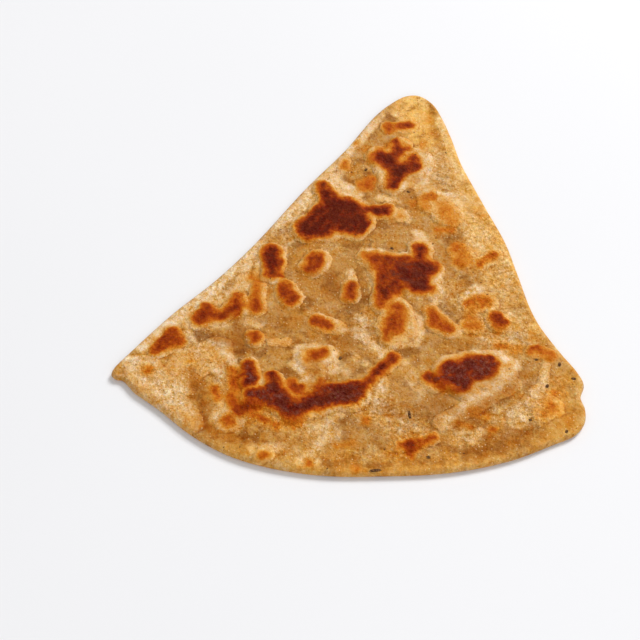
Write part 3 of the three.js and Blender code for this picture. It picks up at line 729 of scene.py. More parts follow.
# %% Dry dough
DRY = {
    "beside the island's top": [(-8, 43.5, 3, 35, 1.8, 1.8, 1), (-6.5, 48, -5, 46, 1.8, 1.8, 0.7)],
    "above the knob": [(11, 34, 18, 32.6, 1.7, 1.7, 0.75), (10, 47, 11, 44, 1.5, 1.5, 0.4)],
    "above the upright": [(-26, 13, -24, 10, 2.4, 2.4, 0.4)],
    "ridges of the lower right": [
        (72, -45, 70.3, -52.5, 1.3, 1.8, 0.7), (70.3, -52.5, 66, -60, 1.8, 2, 0.6),
        (63.5, -61, 58.6, -66, 2.2, 2.2, 0.45), (63.5, -67, 59.5, -70.5, 1.8, 2, 0.6),
        (51, -61.5, 54, -64, 1.4, 1.4, 0.55), (50, -33.5, 61, -35.5, 1.4, 1.4, 0.7),
        (47, -73.6, 43.5, -78.6, 1.3, 1.2, 0.7), (41, -73.5, 36.5, -78.5, 1.5, 1.4, 0.5),
        (74, -58.5, 76, -64, 1.2, 1.2, 0.7),
    ],
    "tip": [
        (24, 87, 27, 70, 8, 5, 0.6), (28, 68, 36, 42, 5, 5, 0.45),
        (17, 81.4, 23, 80.2, 1.6, 2, 0.75), (36.4, 77, 44, 47, 2.4, 2.8, 0.85),
    ],
    "right side": [(42, 58, 54, 6, 5, 8, 0.52), (55, 4, 63, -26, 7, 6, 0.36)],
    "round the zigzag": [
        (-60, -32, -57, -23, 1.6, 1.6, 0.8), (-57, -34, -44, -31, 1.2, 1.4, 0.6),
        (-50, -21, -39, -13, 2, 2.4, 0.6),
    ],
    "round the upright": [(-35.5, 5.5, -36, -7, 1, 1, 0.7), (-25.6, 6, -25.2, -4, 0.8, 0.8, 0.8)],
    "left ground": [
        (-59.5, -34, -55.5, -41, 1, 1, 0.8), (-64, -57.6, -60.5, -57.2, 1.4, 1.6, 0.8),
        (-60.5, -57.2, -57, -61.6, 1.7, 1.6, 0.8), (-51, -49.4, -48, -52.2, 1.5, 1.4, 0.95),
        (-47.5, -63.5, -45.6, -66.4, 0.8, 0.8, 0.9), (-45.6, -66.4, -46.2, -70.4, 0.8, 0.9, 1),
        (-79, -50, -66, -61, 3, 4, 0.8), (-65, -61.6, -56.8, -67, 2, 1.6, 0.7),
        (-56.8, -67, -52.6, -73, 1.6, 1, 0.75), (-59, -43, -55.6, -45.4, 1.6, 1.6, 0.5),
        (-49, -41.4, -46, -42.4, 1.4, 1.4, 0.7),
    ],
    "above the lozenge's left": [(-9, 7, 0, 5, 3, 3, 0.35)],
    "beside the upright": [(-40, -2, -41, -14, 2.2, 2.4, 0.7)],
    "above the zigzag": [(-58, -21, -46, -20, 1.6, 1.6, 0.6)],
    "below the zigzag": [(-38, -29, -33, -31, 1.5, 1.5, 0.6)],
    "left of the pillar": [(-47, -50, -45, -58, 2, 2, 0.5)],
    "above the almond": [(-14, -23, -14, -27, 1.4, 1.4, 0.5)],
    "above the band's arm": [(3, -44, 9, -50, 2, 2, 0.5), (20, -46, 26, -57, 3, 3, 0.45)],
    "below the tip pair": [(13, 82, 9, 74, 1.5, 1.5, 0.6)],
    "beside the leaf": [(27.2, 40.7, 32, 55.5, 2.5, 2.5, 0.9), (26.5, 37.1, 32.7, 39.2, 2, 2, 0.6)],
    "beside the island": [
        (-9, 40.7, 2, 31.6, 1.8, 1.8, 1), (2, 31.6, 5.1, 28.8, 1.8, 1.8, 0.8),
        (-16, 33.5, -24, 21, 2.2, 2.2, 0.6),
    ],
    "round the bean": [(-9.3, 1.5, -9.6, -4, 1.3, 1.3, 0.7)],
    "above the lozenge": [(0.2, -4.5, 0.4, -6.6, 1.8, 1.4, 0.9)],
    "end of the almond": [(-2.6, -31.9, -0.6, -31.9, 1.6, 1, 0.9)],
    "round the crescent": [
        (-17.4, -41.5, -11.6, -39, 1.1, 1.1, 1), (-17.6, -41.5, -19.2, -47.7, 1.4, 1.5, 1.1),
        (-19, -47.7, -15, -55.3, 1.3, 1.2, 1), (-5, -42.5, -6.5, -50.1, 1.1, 1.8, 0.8),
        (-11.6, -39, -5, -42.5, 1, 1, 0.9), (-2.4, -47.1, -0.3, -51.4, 2.2, 2.2, 0.4),
    ],
    "round the butterfly": [
        (33, -4.3, 33.9, -11.1, 1.6, 1.6, 1), (33.9, -11.1, 31.8, -17.7, 1.6, 1.2, 0.9),
        (6.2, -4, 7.6, -12, 1.1, 1.1, 0.6), (4, 6.7, 13, 5.7, 1, 1, 0.8),
        (26.3, 15.9, 29, 9.7, 2.2, 2.6, 1),
    ],
    "shoulder": [
        (29.7, 37.2, 34.8, 37.8, 1.2, 1.2, 1), (34.8, 37.8, 39.8, 36.3, 1.2, 1.2, 1),
        (39.8, 36.3, 42.9, 32.3, 1.2, 1.2, 1), (42.9, 32.3, 43.9, 26.3, 1.2, 1, 0.8),
        (21.8, 26.9, 22.3, 21.9, 1, 1, 0.8),
    ],
    "beside the column": [
        (22.2, -20.7, 26.9, -27, 1.2, 1.6, 0.6), (26.9, -27, 25.1, -35.4, 1.6, 1.6, 0.7),
        (25.1, -35.4, 13, -40.6, 1.6, 1.4, 0.75), (3.8, -26, 3, -33, 2.4, 2.4, 0.95),
        (6.2, -34.6, 11.5, -42.2, 1.5, 1.3, 1),
    ],
    "edge of the hook": [
        (30.8, -19.2, 35.8, -24.6, 0.9, 0.9, 1), (35.8, -24.6, 39.8, -29.7, 0.9, 0.9, 1),
        (39.8, -29.7, 39.3, -32.8, 0.9, 0.9, 0.9),
    ],
    "flank of the great oval": [
        (56.4, -40.9, 59.4, -45.6, 1.7, 2.4, 1.15), (59.4, -45.6, 55.4, -53, 2.4, 2.1, 1.1),
        (55.4, -53, 46.4, -60.8, 1.8, 1.7, 1), (46.4, -60.8, 34.6, -69.2, 1.6, 1.6, 1),
        (33.4, -45.9, 45.4, -40.9, 1, 1, 0.7), (45.4, -40.9, 57.1, -41.3, 1, 1.2, 0.8),
    ],
    "beside the round": [(59.8, -21.1, 58.8, -25.1, 1.2, 1.4, 0.9)],
    "left corner": [
        (-74, -52.4, -62, -64.4, 5, 4, 0.7), (-50.8, -40.3, -45.8, -41.5, 1.6, 1.6, 1),
        (-45.8, -41.5, -42.5, -46.8, 1.6, 1.6, 1), (-42.5, -46.8, -40.4, -50, 1.2, 1, 0.5),
        (-29.9, -56, -31.4, -58.9, 1.4, 1.2, 1),
    ],
    "round the orange dot": [
        (-46.5, -72.5, -44.4, -68.5, 1.8, 1.8, 1), (-38.4, -76.5, -37.4, -73.5, 1.4, 1.4, 0.8),
    ],
    "streaks of the base": [
        (13, -54.1, 9.8, -67.4, 2.2, 2.2, 0.7), (-13, -77, -2, -69, 1.6, 1.6, 0.5),
        (-4.1, -76.4, -13.9, -84.9, 2, 2, 0.6), (-23.8, -83.4, -32.8, -84.5, 2, 2, 0.7),
        (-16.8, -88.6, -15.4, -89.4, 1.6, 1.6, 0.7), (-10.5, -88.7, 1.6, 0.8),
    ],
    "arc by the dome": [
        (43.8, -14.1, 47.6, -10.3, 1, 1, 1.1), (47.6, -10.3, 50.8, -9.4, 1, 0.8, 1.1),
    ],
    "left rim": [
        (10, 77, -28, 18.7, 2.2, 2.4, 0.85), (-35.2, 6.7, -51.3, -14.5, 2.6, 2.6, 0.85),
        (-51.3, -14.5, -76, -42.8, 3, 3, 1),
    ],
}
print(sum(len(strokes) for strokes in DRY.values()), "dry strokes")

# %% [markdown]
# ## Painted shade, buttery, painted sheen and oily dough
#
# Low ground beside the blisters gets a browner painted shade. The tip, the right side and the rim at
# the base are a buttery yellow, and the cores of the largest scorches get a painted sheen. Where oil
# pooled the dough turned amber. Each kind has its own softness.

# %% Painted shade, buttery, painted sheen and oily dough
# painted shade: darker, browner ground beside, below and round the blisters
PAINTED_SHADE = {
    "right of the leaf": [
        (20, 46, 26, 44, 1.8, 1.8, 0.6), (10, 39, 14, 38, 1.6, 1.6, 0.4),
        (22, 36, 28, 35, 1.4, 1.4, 0.4),
    ],
    "left of the lozenge": [(-8, -6, -6, -14, 2, 2.4, 0.9)],
    "right of the lozenge": [(4, -19, 0, -36, 2, 3, 0.6), (3, -11, 5, -16, 1.4, 1.8, 0.6)],
    "below the bean": [(-18, -6, -12, -7, 1.4, 1.4, 0.6)],
    "low left": [(-50, -75, -36, -82, 3, 3, 0.2)],
    "middle": [
        (-30, -27, -24, -30, 3, 3, 0.3), (4, -30, 12, -36, 3, 3, 0.3),
        (10, -74, 22, -74, 3, 3, 0.3),
    ],
    "below the zigzag": [
        (-54, -37, -40, -41, 2, 2.6, 1), (-41, -33, -39, -40, 2, 2.6, 0.8),
        (-45, -28, -41, -29, 1.4, 1.4, 0.7),
    ],
    "hollow of the crescent": [(-12, -47, -12, -54, 1.8, 1.6, 0.9)],
    "left ground": [
        (-56, -53.5, -54, -60, 1.6, 1.8, 1), (-54, -60, -55, -64, 1.4, 1, 0.8),
        (-52, -67, -49.8, -76.5, 1.3, 1.6, 1),
    ],
    "under the band": [(12, -65, 30, -69, 4, 4, 0.6), (-38, -70, -37, -73, 1.6, 1.6, 0.6)],
    "round the great oval": [
        (24, -36.5, 50, -36, 1.2, 1.4, 0.3), (63.2, -46, 58.8, -55, 1, 1.3, 0.9),
        (58.8, -55, 50, -62.4, 1.4, 1.6, 1), (50, -62.4, 38, -71, 1.4, 1.4, 0.9),
        (43, -54.5, 52, -52, 1.8, 1.8, 0.8), (33, -59.6, 43, -59, 1.8, 1.8, 0.7),
    ],
    "lower right": [
        (32, -63, 46, -70, 3, 2.6, 0.7), (66.5, -73, 50, -78, 1.6, 2, 0.7),
        (50, -80.4, 44, -83, 2, 2, 0.7),
    ],
}
BUTTERY = {
    "tip": [(24, 88, 30, 70, 7, 8, 1)],
    "right rim": [
        (40, 66, 49, 39, 3, 3, 0.9), (49, 39, 62, 6, 3, 3, 0.9), (62, 6, 70, -26, 3, 3, 0.8),
        (70, -26, 82, -46, 3, 3, 0.7),
    ],
    "right side": [(46, 30, 54, 8, 6, 6, 0.45), (54, 4, 62, -22, 6, 6, 0.4)],
    "blunt corner": [(80, -50, 76, -70, 4, 5, 0.9)],
    "base rim": [
        (72, -75, 36, -88, 2.4, 2.4, 0.9), (36, -88, -10, -92, 2.4, 2.4, 0.9),
        (-10, -92, -46, -83, 2.4, 2.4, 0.8),
    ],
}
# painted sheen: a paler, pinkish reflection over the cores of the largest scorches
PAINTED_SHEEN = {
    "pillar and band": [
        (-37, -50, -36, -57, 4, 4, 1.3), (-34, -63, -20, -67, 6, 6, 0.9),
        (-10, -62, 4, -60, 6, 6, 0.7),
    ],
    "great oval": [(34, -50, 52, -46, 8, 8, 1.3)],
    "butterfly": [(14, -2, 27, -6, 6, 6, 0.4)],
}
OILY = {
    "tip": [(30, 72, 38, 62, 4, 4, 0.3)],
    "right side": [(50, 22, 56, 8, 5, 5, 0.1), (60, -14, 68, -28, 5, 5, 0.2)],
    "below the island": [(-20, 10, -8, 9, 3, 3, 0.4)],
    "left of the lozenge": [(-14, -12, -8, -14, 4, 4, 0.5)],
    "middle": [
        (-24, -26, -18, -24, 5, 5, 0.5), (-6, -34, 0, -38, 4, 4, 0.6),
        (-12.5, -47, -12.5, -52, 1.6, 1.6, 0.9),
    ],
    "left ground": [
        (-60, -51, -52, -47, 4, 4, 0.6), (-55.5, -54, -53.5, -60, 2.4, 2.6, 1),
        (-51.5, -67, -49.5, -76, 2, 2.4, 0.9),
    ],
    "low left": [(-52, -76, -30, -80, 4, 4, 0.9), (-30, -80, -18, -78, 4, 4, 0.6)],
    "base": [(-6, -91, 30, -90, 2.5, 2.5, 0.7), (36, -84, 60, -78, 4, 4, 0.5)],
    "blunt corner": [(70, -70, 76, -62, 4, 4, 0.3)],
    "lower right": [(52, -78, 46, -82, 3, 3, 0.7)],
}
SOFTNESS = {  # a mark grows from the first distance, outside its edge, to the second, inside it
    "dry": (1.2, -1), "painted_shade": (2.2, -1.6), "buttery": (4, -3), "painted_sheen": (3, -3), "oily": (4, -4),
}

for name, groups in {"painted_shade": PAINTED_SHADE, "buttery": BUTTERY, "painted_sheen": PAINTED_SHEEN, "oily": OILY}.items():
    print(sum(len(strokes) for strokes in groups.values()), name, "strokes")

# %% [markdown]
# ## The bread's mesh
#
# The arrays become a mesh, measured in metres from the middle of the bread, and the mesh becomes an
# object. A mesh can also carry numbers of our own, one on each point, for a material to read.

# %% Bread's mesh
def grey_attribute(mesh, name, values):
    """Stores one number for each point of a mesh."""
    mesh.attributes.new(name, "FLOAT", "POINT").data.foreach_set("value", values.astype(np.float32))


dough = bpy.data.meshes.new("bread")
dough.from_pydata(np.column_stack([xy - middle, z]) * MM, [], triangles)
dough.shade_smooth()
bread = bpy.data.objects.new("bread", dough)
bpy.context.scene.collection.objects.link(bread)
print("bread has", len(dough.polygons), "faces on", len(dough.vertices), "points")

# %% [markdown]
# ## Marks on the mesh
#
# Each kind of mark becomes one number a point. The underside browned in the pan as well. It
# borrows the marks of the upper face, with the three corners changed round, so that the two faces
# differ; only a mark near the heart of the bread stays about where it was. Where the underside is
# hollow it never touched the pan.

# %% Marks on the mesh
CORNERS = np.array([(-85, -55), (85, -62), (25, 93)])  # sharp, blunt and tip
SCORCH_INSET = 1.2  # scorches fade out this near to the edge
UNDER_EDGE = 3.0  # how far in from the edge the underside is scorched
LEAN_STEP = 0.5  # half the distance over which the lean of a blister's flank is measured
RING_RISE = 0.5  # rings are full on dough that rises this high
RING_GAPS = (-1.1, 0.1)  # where noise is as low as this, rings are thin or broken
RING_LIGHT_LEAN = (-0.4, 0.3)  # a fuller ring, partly painted light, on flanks that fall to the right; others down to half
DRY_LEAST = 0.72  # share of a dry stroke that its gaps keep
DRY_GAPS = (-0.5, 0.4)  # noise over which a dry stroke goes from thin to full
EDGE_DRY_AND_LIT = 0.35  # how much paler the rim is, partly dry dough and partly painted light on its rounding
EDGE_DRY_AND_LIT_SPAN = (4.5, 1)
CRUMB_DRY = 0.6  # how dry the crumbs are
CRUMB_SPAN = (0.36, 0.62)  # relief that counts as a crumb
CREASE_SPAN = (0.2, 0.06)  # relief that counts as a crease
FOOT_SHADE_SPANS = ((0, 0.04), (0.35, 0.1))  # rise over which the painted shade at the foot of a blister comes and goes
FOOT_SHADE_LEAN = (-0.2, 0.5)  # the painted shade at the foot shows where a flank falls to the right
UNDER_DRY, UNDER_OILY, UNDER_CRUMBLY, UNDER_BUTTERY = 0.3, 0.2, 0.1, 0.3


def changed_round(x, y):
    """Where points come to lie when each corner of the bread moves to the next one."""
    sides = (CORNERS[1:] - CORNERS[0]).T
    shares = np.linalg.solve(sides, np.stack([x, y]) - CORNERS[0][:, None])
    return CORNERS.T @ np.stack([shares[1], 1 - shares.sum(axis=0), shares[0]])


wx, wy = wavered(x, y)
sx, sy = np.where(upper, (wx, wy), changed_round(wx, wy))
blistered = blisters_height(wx, wy)
raised = blistered + bubbles_height(x, y)
lean = blisters_height(wx - LEAN_STEP, wy) - blisters_height(wx + LEAN_STEP, wy)
crumbly = crumbliness(x, y)
crumb = lumps(x, y)

wander = [reach * noise(x, y, width, 64 + k) for k, (width, reach) in enumerate(WANDER)]
scorch = drawn(SCORCHES, sx, sy, SCORCH_EDGE, SCORCH_CORE, wander)
touching = (1 - hollows(wx, wy)) * smooth_step(0, UNDER_EDGE, inset)
scorch = scorch * smooth_step(0, SCORCH_INSET, inset) * np.where(upper, 1, touching)

pale = rings_round(SCORCHES, sx, sy, *PALE_RING)
under_dry = np.maximum(pale * touching, UNDER_DRY * (1 + noise(x, y, 9, 66)))
pale = pale * smooth_step(0, RING_RISE, blistered) * smooth_step(*RING_GAPS, noise(x, y, 6, 61))
# The ring is dry dough; its fuller paleness on flanks that fall to the right is painted light.
pale = pale * (0.5 + 0.5 * smooth_step(*RING_LIGHT_LEAN, lean))
broken = DRY_LEAST + (1 - DRY_LEAST) * smooth_step(*DRY_GAPS, noise(x, y, 3.2, 62))
dry = np.maximum(drawn(DRY, wx, wy, SOFTNESS["dry"]) * broken, pale)
# A paler rim: partly dry dough, partly painted light on the rounded rim.
dry = np.maximum(dry, EDGE_DRY_AND_LIT * smooth_step(*EDGE_DRY_AND_LIT_SPAN, inset))
dry = np.maximum(dry, CRUMB_DRY * crumbly * smooth_step(*CRUMB_SPAN, crumb))

# Painted shade: a darker band at the foot of the blisters, on flanks that fall to the right.
foot = smooth_step(*FOOT_SHADE_SPANS[0], blistered) * smooth_step(*FOOT_SHADE_SPANS[1], blistered)
foot = foot * smooth_step(*FOOT_SHADE_LEAN, lean + 0.6 * noise(x, y, 4, 63))

marks = {  # name: (on the upper face, on the underside)
    "scorch": (scorch, scorch),
    "raised": (raised, 0),
    "dry": (dry, under_dry),
    "oily": (drawn(OILY, wx, wy, SOFTNESS["oily"]), UNDER_OILY),
    "foot": (foot, 0),
    "crumbly": (crumbly, UNDER_CRUMBLY),
    "crease": (crumbly * smooth_step(*CREASE_SPAN, crumb), 0),
    "painted_shade": (drawn(PAINTED_SHADE, wx, wy, SOFTNESS["painted_shade"]), 0),
    "buttery": (drawn(BUTTERY, x, y, SOFTNESS["buttery"]), UNDER_BUTTERY),
    "painted_sheen": (drawn(PAINTED_SHEEN, x, y, SOFTNESS["painted_sheen"]), 0),
}
for name, (above, below) in marks.items():
    grey_attribute(dough, name, np.where(upper, above, below))
print("scorched share of the upper face", round(float((scorch[upper] > 0.4).mean()), 3))

# %% [markdown]
# ## Helpers for materials
#
# A material is a tree of small nodes. These helpers add one node at a time and wire its inputs,
# so that a finish reads from top to bottom. Colours are given as a screen shows them, from 0 to
# 255, and turned into the linear values that Blender mixes light with.

# %% Material helpers
def colour(red, green, blue):
    """A colour as a screen shows it, as the linear value that nodes take."""
    share = [c / 255 for c in (red, green, blue)]
    return (*[c / 12.92 if c <= 0.04045 else ((c + 0.055) / 1.055) ** 2.4 for c in share], 1)


def add(tree, kind, inputs=(), **settings):
    """A node with its settings, whose inputs are values or other nodes' outputs."""
    node = tree.nodes.new(kind)
    for name, value in settings.items():
        setattr(node, name, value)
    for name, value in dict(inputs).items():
        if isinstance(value, bpy.types.NodeSocket):
            tree.links.new(value, node.inputs[name])
        else:
            node.inputs[name].default_value = value
    return node


def calc(tree, operation, *values):
    """A sum, product or other operation on numbers."""
    return add(tree, "ShaderNodeMath", enumerate(values), operation=operation).outputs[0]


def rise(tree, value, start, end, low=0.0, high=1.0):
    """low before start, high after end, and a smooth rise between them."""
    ends = {"Value": value, "From Min": start, "From Max": end, "To Min": low, "To Max": high}
    node = add(tree, "ShaderNodeMapRange", ends, interpolation_type="SMOOTHSTEP")
    return node.outputs["Result"]


def blend(tree, amount, first, second, mode="MIX"):
    """One colour over another by an amount."""
    ends = {0: amount, 6: first, 7: second}
    return add(tree, "ShaderNodeMix", ends, data_type="RGBA", blend_type=mode).outputs[2]


def scale_of(width):
    """The scale of a noise whose bumps are about so many millimetres wide."""
    return 1 / (width * MM)


def noise_node(tree, where, width, detail=2.0, roughness=0.5):
    """Noise from 0 to 1 over the points of a piece."""
    inputs = {"Vector": where, "Scale": scale_of(width), "Detail": detail, "Roughness": roughness}
    return add(tree, "ShaderNodeTexNoise", inputs).outputs["Fac"]


def attribute(tree, name):
    """A number stored on the points of the mesh."""
    return add(tree, "ShaderNodeAttribute", attribute_name=name).outputs["Fac"]


def new_material(name):
    """An empty material, its tree, its shader and the points' own coordinates."""
    material = bpy.data.materials.new(name)
    material.use_nodes = True
    tree = material.node_tree
    tree.nodes.clear()
    shader = tree.nodes.new("ShaderNodeBsdfPrincipled")
    output = tree.nodes.new("ShaderNodeOutputMaterial")
    tree.links.new(shader.outputs[0], output.inputs["Surface"])
    where = tree.nodes.new("ShaderNodeTexCoord").outputs["Object"]
    return material, tree, shader, where


def new_group(name, inputs, outputs):
    """A node group with named inputs (name: starting value) and outputs (name: kind)."""
    tree = bpy.data.node_groups.new(name, "ShaderNodeTree")
    for label, value in inputs.items():
        kind = "NodeSocketVector" if value is None else "NodeSocketFloat"
        socket = tree.interface.new_socket(label, in_out="INPUT", socket_type=kind)
        if value is not None:
            socket.default_value = value
    for label, kind in outputs.items():
        tree.interface.new_socket(label, in_out="OUTPUT", socket_type="NodeSocket" + kind)
    return tree, tree.nodes.new("NodeGroupInput").outputs, tree.nodes.new("NodeGroupOutput").inputs


def use_group(tree, group, inputs):
    """A placed copy of a node group, with its own values."""
    node = tree.nodes.new("ShaderNodeGroup")
    node.node_tree = group
    for name, value in inputs.items():
        if isinstance(value, bpy.types.NodeSocket):
            tree.links.new(value, node.inputs[name])
        else:
            node.inputs[name].default_value = value
    return node.outputs


print("orange in linear values", np.round(colour(205, 125, 50), 3))

# %% [markdown]
# ## Grain, a group that all finishes share
#
# Wholewheat flour is never smooth: fine mottling, a sandy speckle and grits, which the crust
# paints as glints of light. The same group serves the crust, the seeds and the bran at different
# sizes. It puts out plain numbers, so each material decides what colour or depth they have.

# %% Grain group
grain, g_in, g_out = new_group(
    "grain",
    {"Vector": None, "Mottle": scale_of(1.8), "Speckle": scale_of(0.45), "Grits": scale_of(1.1)},
    {"Mottle": "Float", "Speckle": "Float", "Grits": "Float", "Height": "Float"},
)
mottle = add(grain, "ShaderNodeTexNoise", {
    "Vector": g_in["Vector"], "Scale": g_in["Mottle"], "Detail": 4.0, "Roughness": 0.6,
}).outputs["Fac"]
speckle = add(grain, "ShaderNodeTexNoise", {
    "Vector": g_in["Vector"], "Scale": g_in["Speckle"], "Detail": 2.0, "Roughness": 0.6,
}).outputs["Fac"]
cells = add(grain, "ShaderNodeTexVoronoi", {"Vector": g_in["Vector"], "Scale": g_in["Grits"]})
chosen = add(grain, "ShaderNodeSeparateColor", {"Color": cells.outputs["Color"]}).outputs["Red"]
near = rise(grain, cells.outputs["Distance"], 0.32, 0.12)
grits = calc(grain, "MULTIPLY", near, rise(grain, chosen, 0.55, 0.9))
height = calc(grain, "MULTIPLY_ADD", grits, 0.6, speckle)
for name, value in {"Mottle": mottle, "Speckle": speckle, "Grits": grits, "Height": height}.items():
    grain.links.new(value, g_out[name])
print("grain puts out", [socket.name for socket in g_out if socket.name])

# %% [markdown]
# ## Crust
#
# Dough browns along one path: cream where it stayed dry, golden, amber, orange and last a deep
# red-brown. So one number, the browning, is summed up from everything that acted on a point, and
# one colour ramp turns it into a colour. Coarse noise is added to the number, not the colour, so
# that every edge breaks up into grains as a real one does. Tints and finer grains come afterwards.

# %% Browning
PLAIN_BROWNING = 0.31  # of dough that nothing acted on
LEAST_BROWNING = 0.03
OILY_BROWNING = 0.1  # what each thing that acts on the dough adds to it
CREASE_BROWNING = 0.09
# painted shade browns the ground beside the blisters
PAINTED_SHADE_BROWNING = 0.05
DRY_BROWNING = -0.23

crust, tree, shader, where = new_material("crust")
grained = use_group(tree, grain, {"Vector": where})
broad = noise_node(tree, where, 11, 2.0)
patch = noise_node(tree, where, 4.2, 3.0, 0.6)
flecks = noise_node(tree, where, 2.4, 3.0, 0.65)
crumbs = noise_node(tree, where, 1.2, 2.0, 0.6)


def swing(value, reach, sharp=0.25):
    """Noise around zero: from -reach to reach."""
    return rise(tree, value, 0.5 - sharp, 0.5 + sharp, -reach, reach)


def total(*values):
    """The sum of some numbers."""
    result = values[0]
    for value in values[1:]:
        result = calc(tree, "ADD", result, value)
    return result


def times(first, second):
    """The product of two numbers."""
    return calc(tree, "MULTIPLY", first, second)


scorch_here = attribute(tree, "scorch")
raised_here = attribute(tree, "raised")
crumbly_here = attribute(tree, "crumbly")
rough_share = calc(tree, "MULTIPLY_ADD", crumbly_here, 0.8, 0.2)
dry_tops = rise(tree, raised_here, 0.3, 0.9, 0, 0.28)
# The dry number also carries painted light on the rounded rim and on the right flanks of the rings.
dry_and_lit_here = calc(tree, "MAXIMUM", attribute(tree, "dry"), dry_tops)
dry_and_lit_here = times(dry_and_lit_here, rise(tree, grained["Mottle"], 0.25, 0.6, 0.5, 1.1))

crumbling = total(
    -0.07,
    rise(tree, flecks, 0.52, 0.66, 0, 0.17),
    rise(tree, crumbs, 0.5, 0.66, 0, -0.12),
    rise(tree, broad, 0.42, 0.62, 0.03, -0.05),
)
browning = total(
    PLAIN_BROWNING,
    swing(patch, 0.07),
    swing(grained["Mottle"], 0.03),
    times(crumbling, rough_share),
    times(attribute(tree, "oily"), OILY_BROWNING),
    times(attribute(tree, "crease"), CREASE_BROWNING),
    times(attribute(tree, "painted_shade"), PAINTED_SHADE_BROWNING),
    times(dry_and_lit_here, DRY_BROWNING),
)
browning = calc(tree, "MAXIMUM", browning, LEAST_BROWNING)
uneven = total(swing(grained["Mottle"], 0.09), swing(patch, 0.17), swing(crumbs, 0.1))
uneven = times(uneven, rise(tree, scorch_here, 0.25, 0.7))
scorched = calc(tree, "MAXIMUM", total(scorch_here, uneven), 0.0)
browning = total(browning, times(scorched, calc(tree, "SUBTRACT", 1.0, browning)))

ramp = add(tree, "ShaderNodeValToRGB", {"Fac": browning})
STOPS = [
    (0.02, colour(234, 200, 158)), (0.13, colour(225, 182, 128)), (0.23, colour(219, 167, 101)),
    (0.33, colour(217, 155, 78)), (0.42, colour(209, 134, 44)), (0.5, colour(198, 112, 24)),
    (0.58, colour(184, 90, 12)), (0.66, colour(167, 69, 6)), (0.75, colour(148, 54, 4)),
    (0.84, colour(129, 41, 4)), (0.92, colour(110, 30, 4)), (1.0, colour(90, 20, 4)),
]
for at, _ in STOPS[1:-1]:
    ramp.color_ramp.elements.new(at)
for stop, (at, tint) in zip(ramp.color_ramp.elements, STOPS):
    stop.position, stop.color = at, tint
print("browning goes through", len(STOPS), "colours")

# %% [markdown]
# ## Oil, butter, painted shade and painted sheen
#
# Some tints lie over whole stretches of the crust. The low ground between blisters soaked up oil,
# which makes it darker, most of all in pools. Painted shade browns the feet of the blisters and the
# low ground beside them, butter makes the dough yellower, and a painted sheen dulls the cores of the
# largest scorches to a paler, pinker brown. Each tint is multiplied in by an amount, except the
# sheen, which covers what is below it.

# %% Oil, butter, painted shade and painted sheen
LOW_TINT = colour(226, 222, 216)
POOL_TINT = colour(204, 184, 158)
HONEY_TINT = (1.03, 1.0, 0.82, 1)
# painted shade at the feet of the blisters
FOOT_SHADE_TINT = colour(218, 182, 138)
# painted shade beside the blisters
PAINTED_SHADE_TINT = colour(214, 196, 176)
BUTTER_TINT = (1.1, 1.06, 0.72, 1)
SHEEN_COLOUR = colour(118, 58, 48)

low = times(rise(tree, raised_here, 0.4, 0.1), rise(tree, dry_and_lit_here, 0.6, 0.1))
low = times(low, rise(tree, crumbly_here, 0.1, 0.9, 1, 0.25))
low = times(low, rise(tree, scorched, 0.3, 0))
pools = rise(tree, noise_node(tree, where, 6.5, 4.0, 0.6), 0.46, 0.64)
honey = rise(tree, noise_node(tree, where, 8, 2.0), 0.46, 0.6)
buttery_here = attribute(tree, "buttery")
tints = [
    (low, LOW_TINT),
    (times(low, pools), POOL_TINT),
    (times(honey, low), HONEY_TINT),
    (attribute(tree, "foot"), FOOT_SHADE_TINT),
    (attribute(tree, "painted_shade"), PAINTED_SHADE_TINT),
    (times(buttery_here, rise(tree, scorched, 0.4, 0)), BUTTER_TINT),
]
tone = ramp.outputs["Color"]
for amount, tint in tints:
    tone = blend(tree, amount, tone, tint, "MULTIPLY")
# Painted sheen over the darkest scorches, broken up by noise.
sheen = rise(tree, noise_node(tree, where, 2.2, 4.0, 0.65), 0.4, 0.65, 0, 0.7)
sheen = times(sheen, attribute(tree, "painted_sheen"))
tone = blend(tree, times(sheen, rise(tree, scorched, 0.7, 0.95)), tone, SHEEN_COLOUR)
print(len(tints), "tints and the smoke")

# %% [markdown]
# ## Grains
#
# A grain is a number below zero where the crust is darker and above zero where it is lighter, and
# each channel takes its own share of it, so that darker grains are warmer and lighter ones paler.
# Scorches have a grain of their own, whose pale specks are partly painted glints, and grits painted
# as glints of light lie over the dough beside them. On crumbly dough an even grain paints light
# and shade on the crumbs.

# %% Grains
DARK_GRAINS = (0.42, 1.08, 2.7)  # how much of a grain red, green and blue take
LIGHT_GRAINS = (0.42, 1.0, 1.9)
# lighter scorch grains turn pale and pinkish: a real mottling with painted glints
SCORCH_GRAINS_AND_GLINTS = (1.6, 5.6, 6.0)
YELLOW_GRAINS = (0, 0.12, 1)
# painted light and shade on the crumbs takes every channel alike
PAINTED_LIGHT_GRAINS = (1, 1, 1)
DARKEST_GRAIN = (0.12, 0.12, 0.12)
# painted highlight: the colour of glints on the grits
GLINT_COLOUR = colour(250, 220, 168)


def grain_tint(amount, strengths):
    """A colour to multiply by: 1, and more or less of each channel where there are grains."""
    ends = {0: amount, 1: strengths, 2: (1, 1, 1)}
    tint = add(tree, "ShaderNodeVectorMath", ends, operation="MULTIPLY_ADD").outputs[0]
    ends = {0: tint, 1: DARKEST_GRAIN}
    return add(tree, "ShaderNodeVectorMath", ends, operation="MAXIMUM").outputs[0]


def multiplied(first, second):
    """One colour times another."""
    return blend(tree, 1.0, first, second, "MULTIPLY")


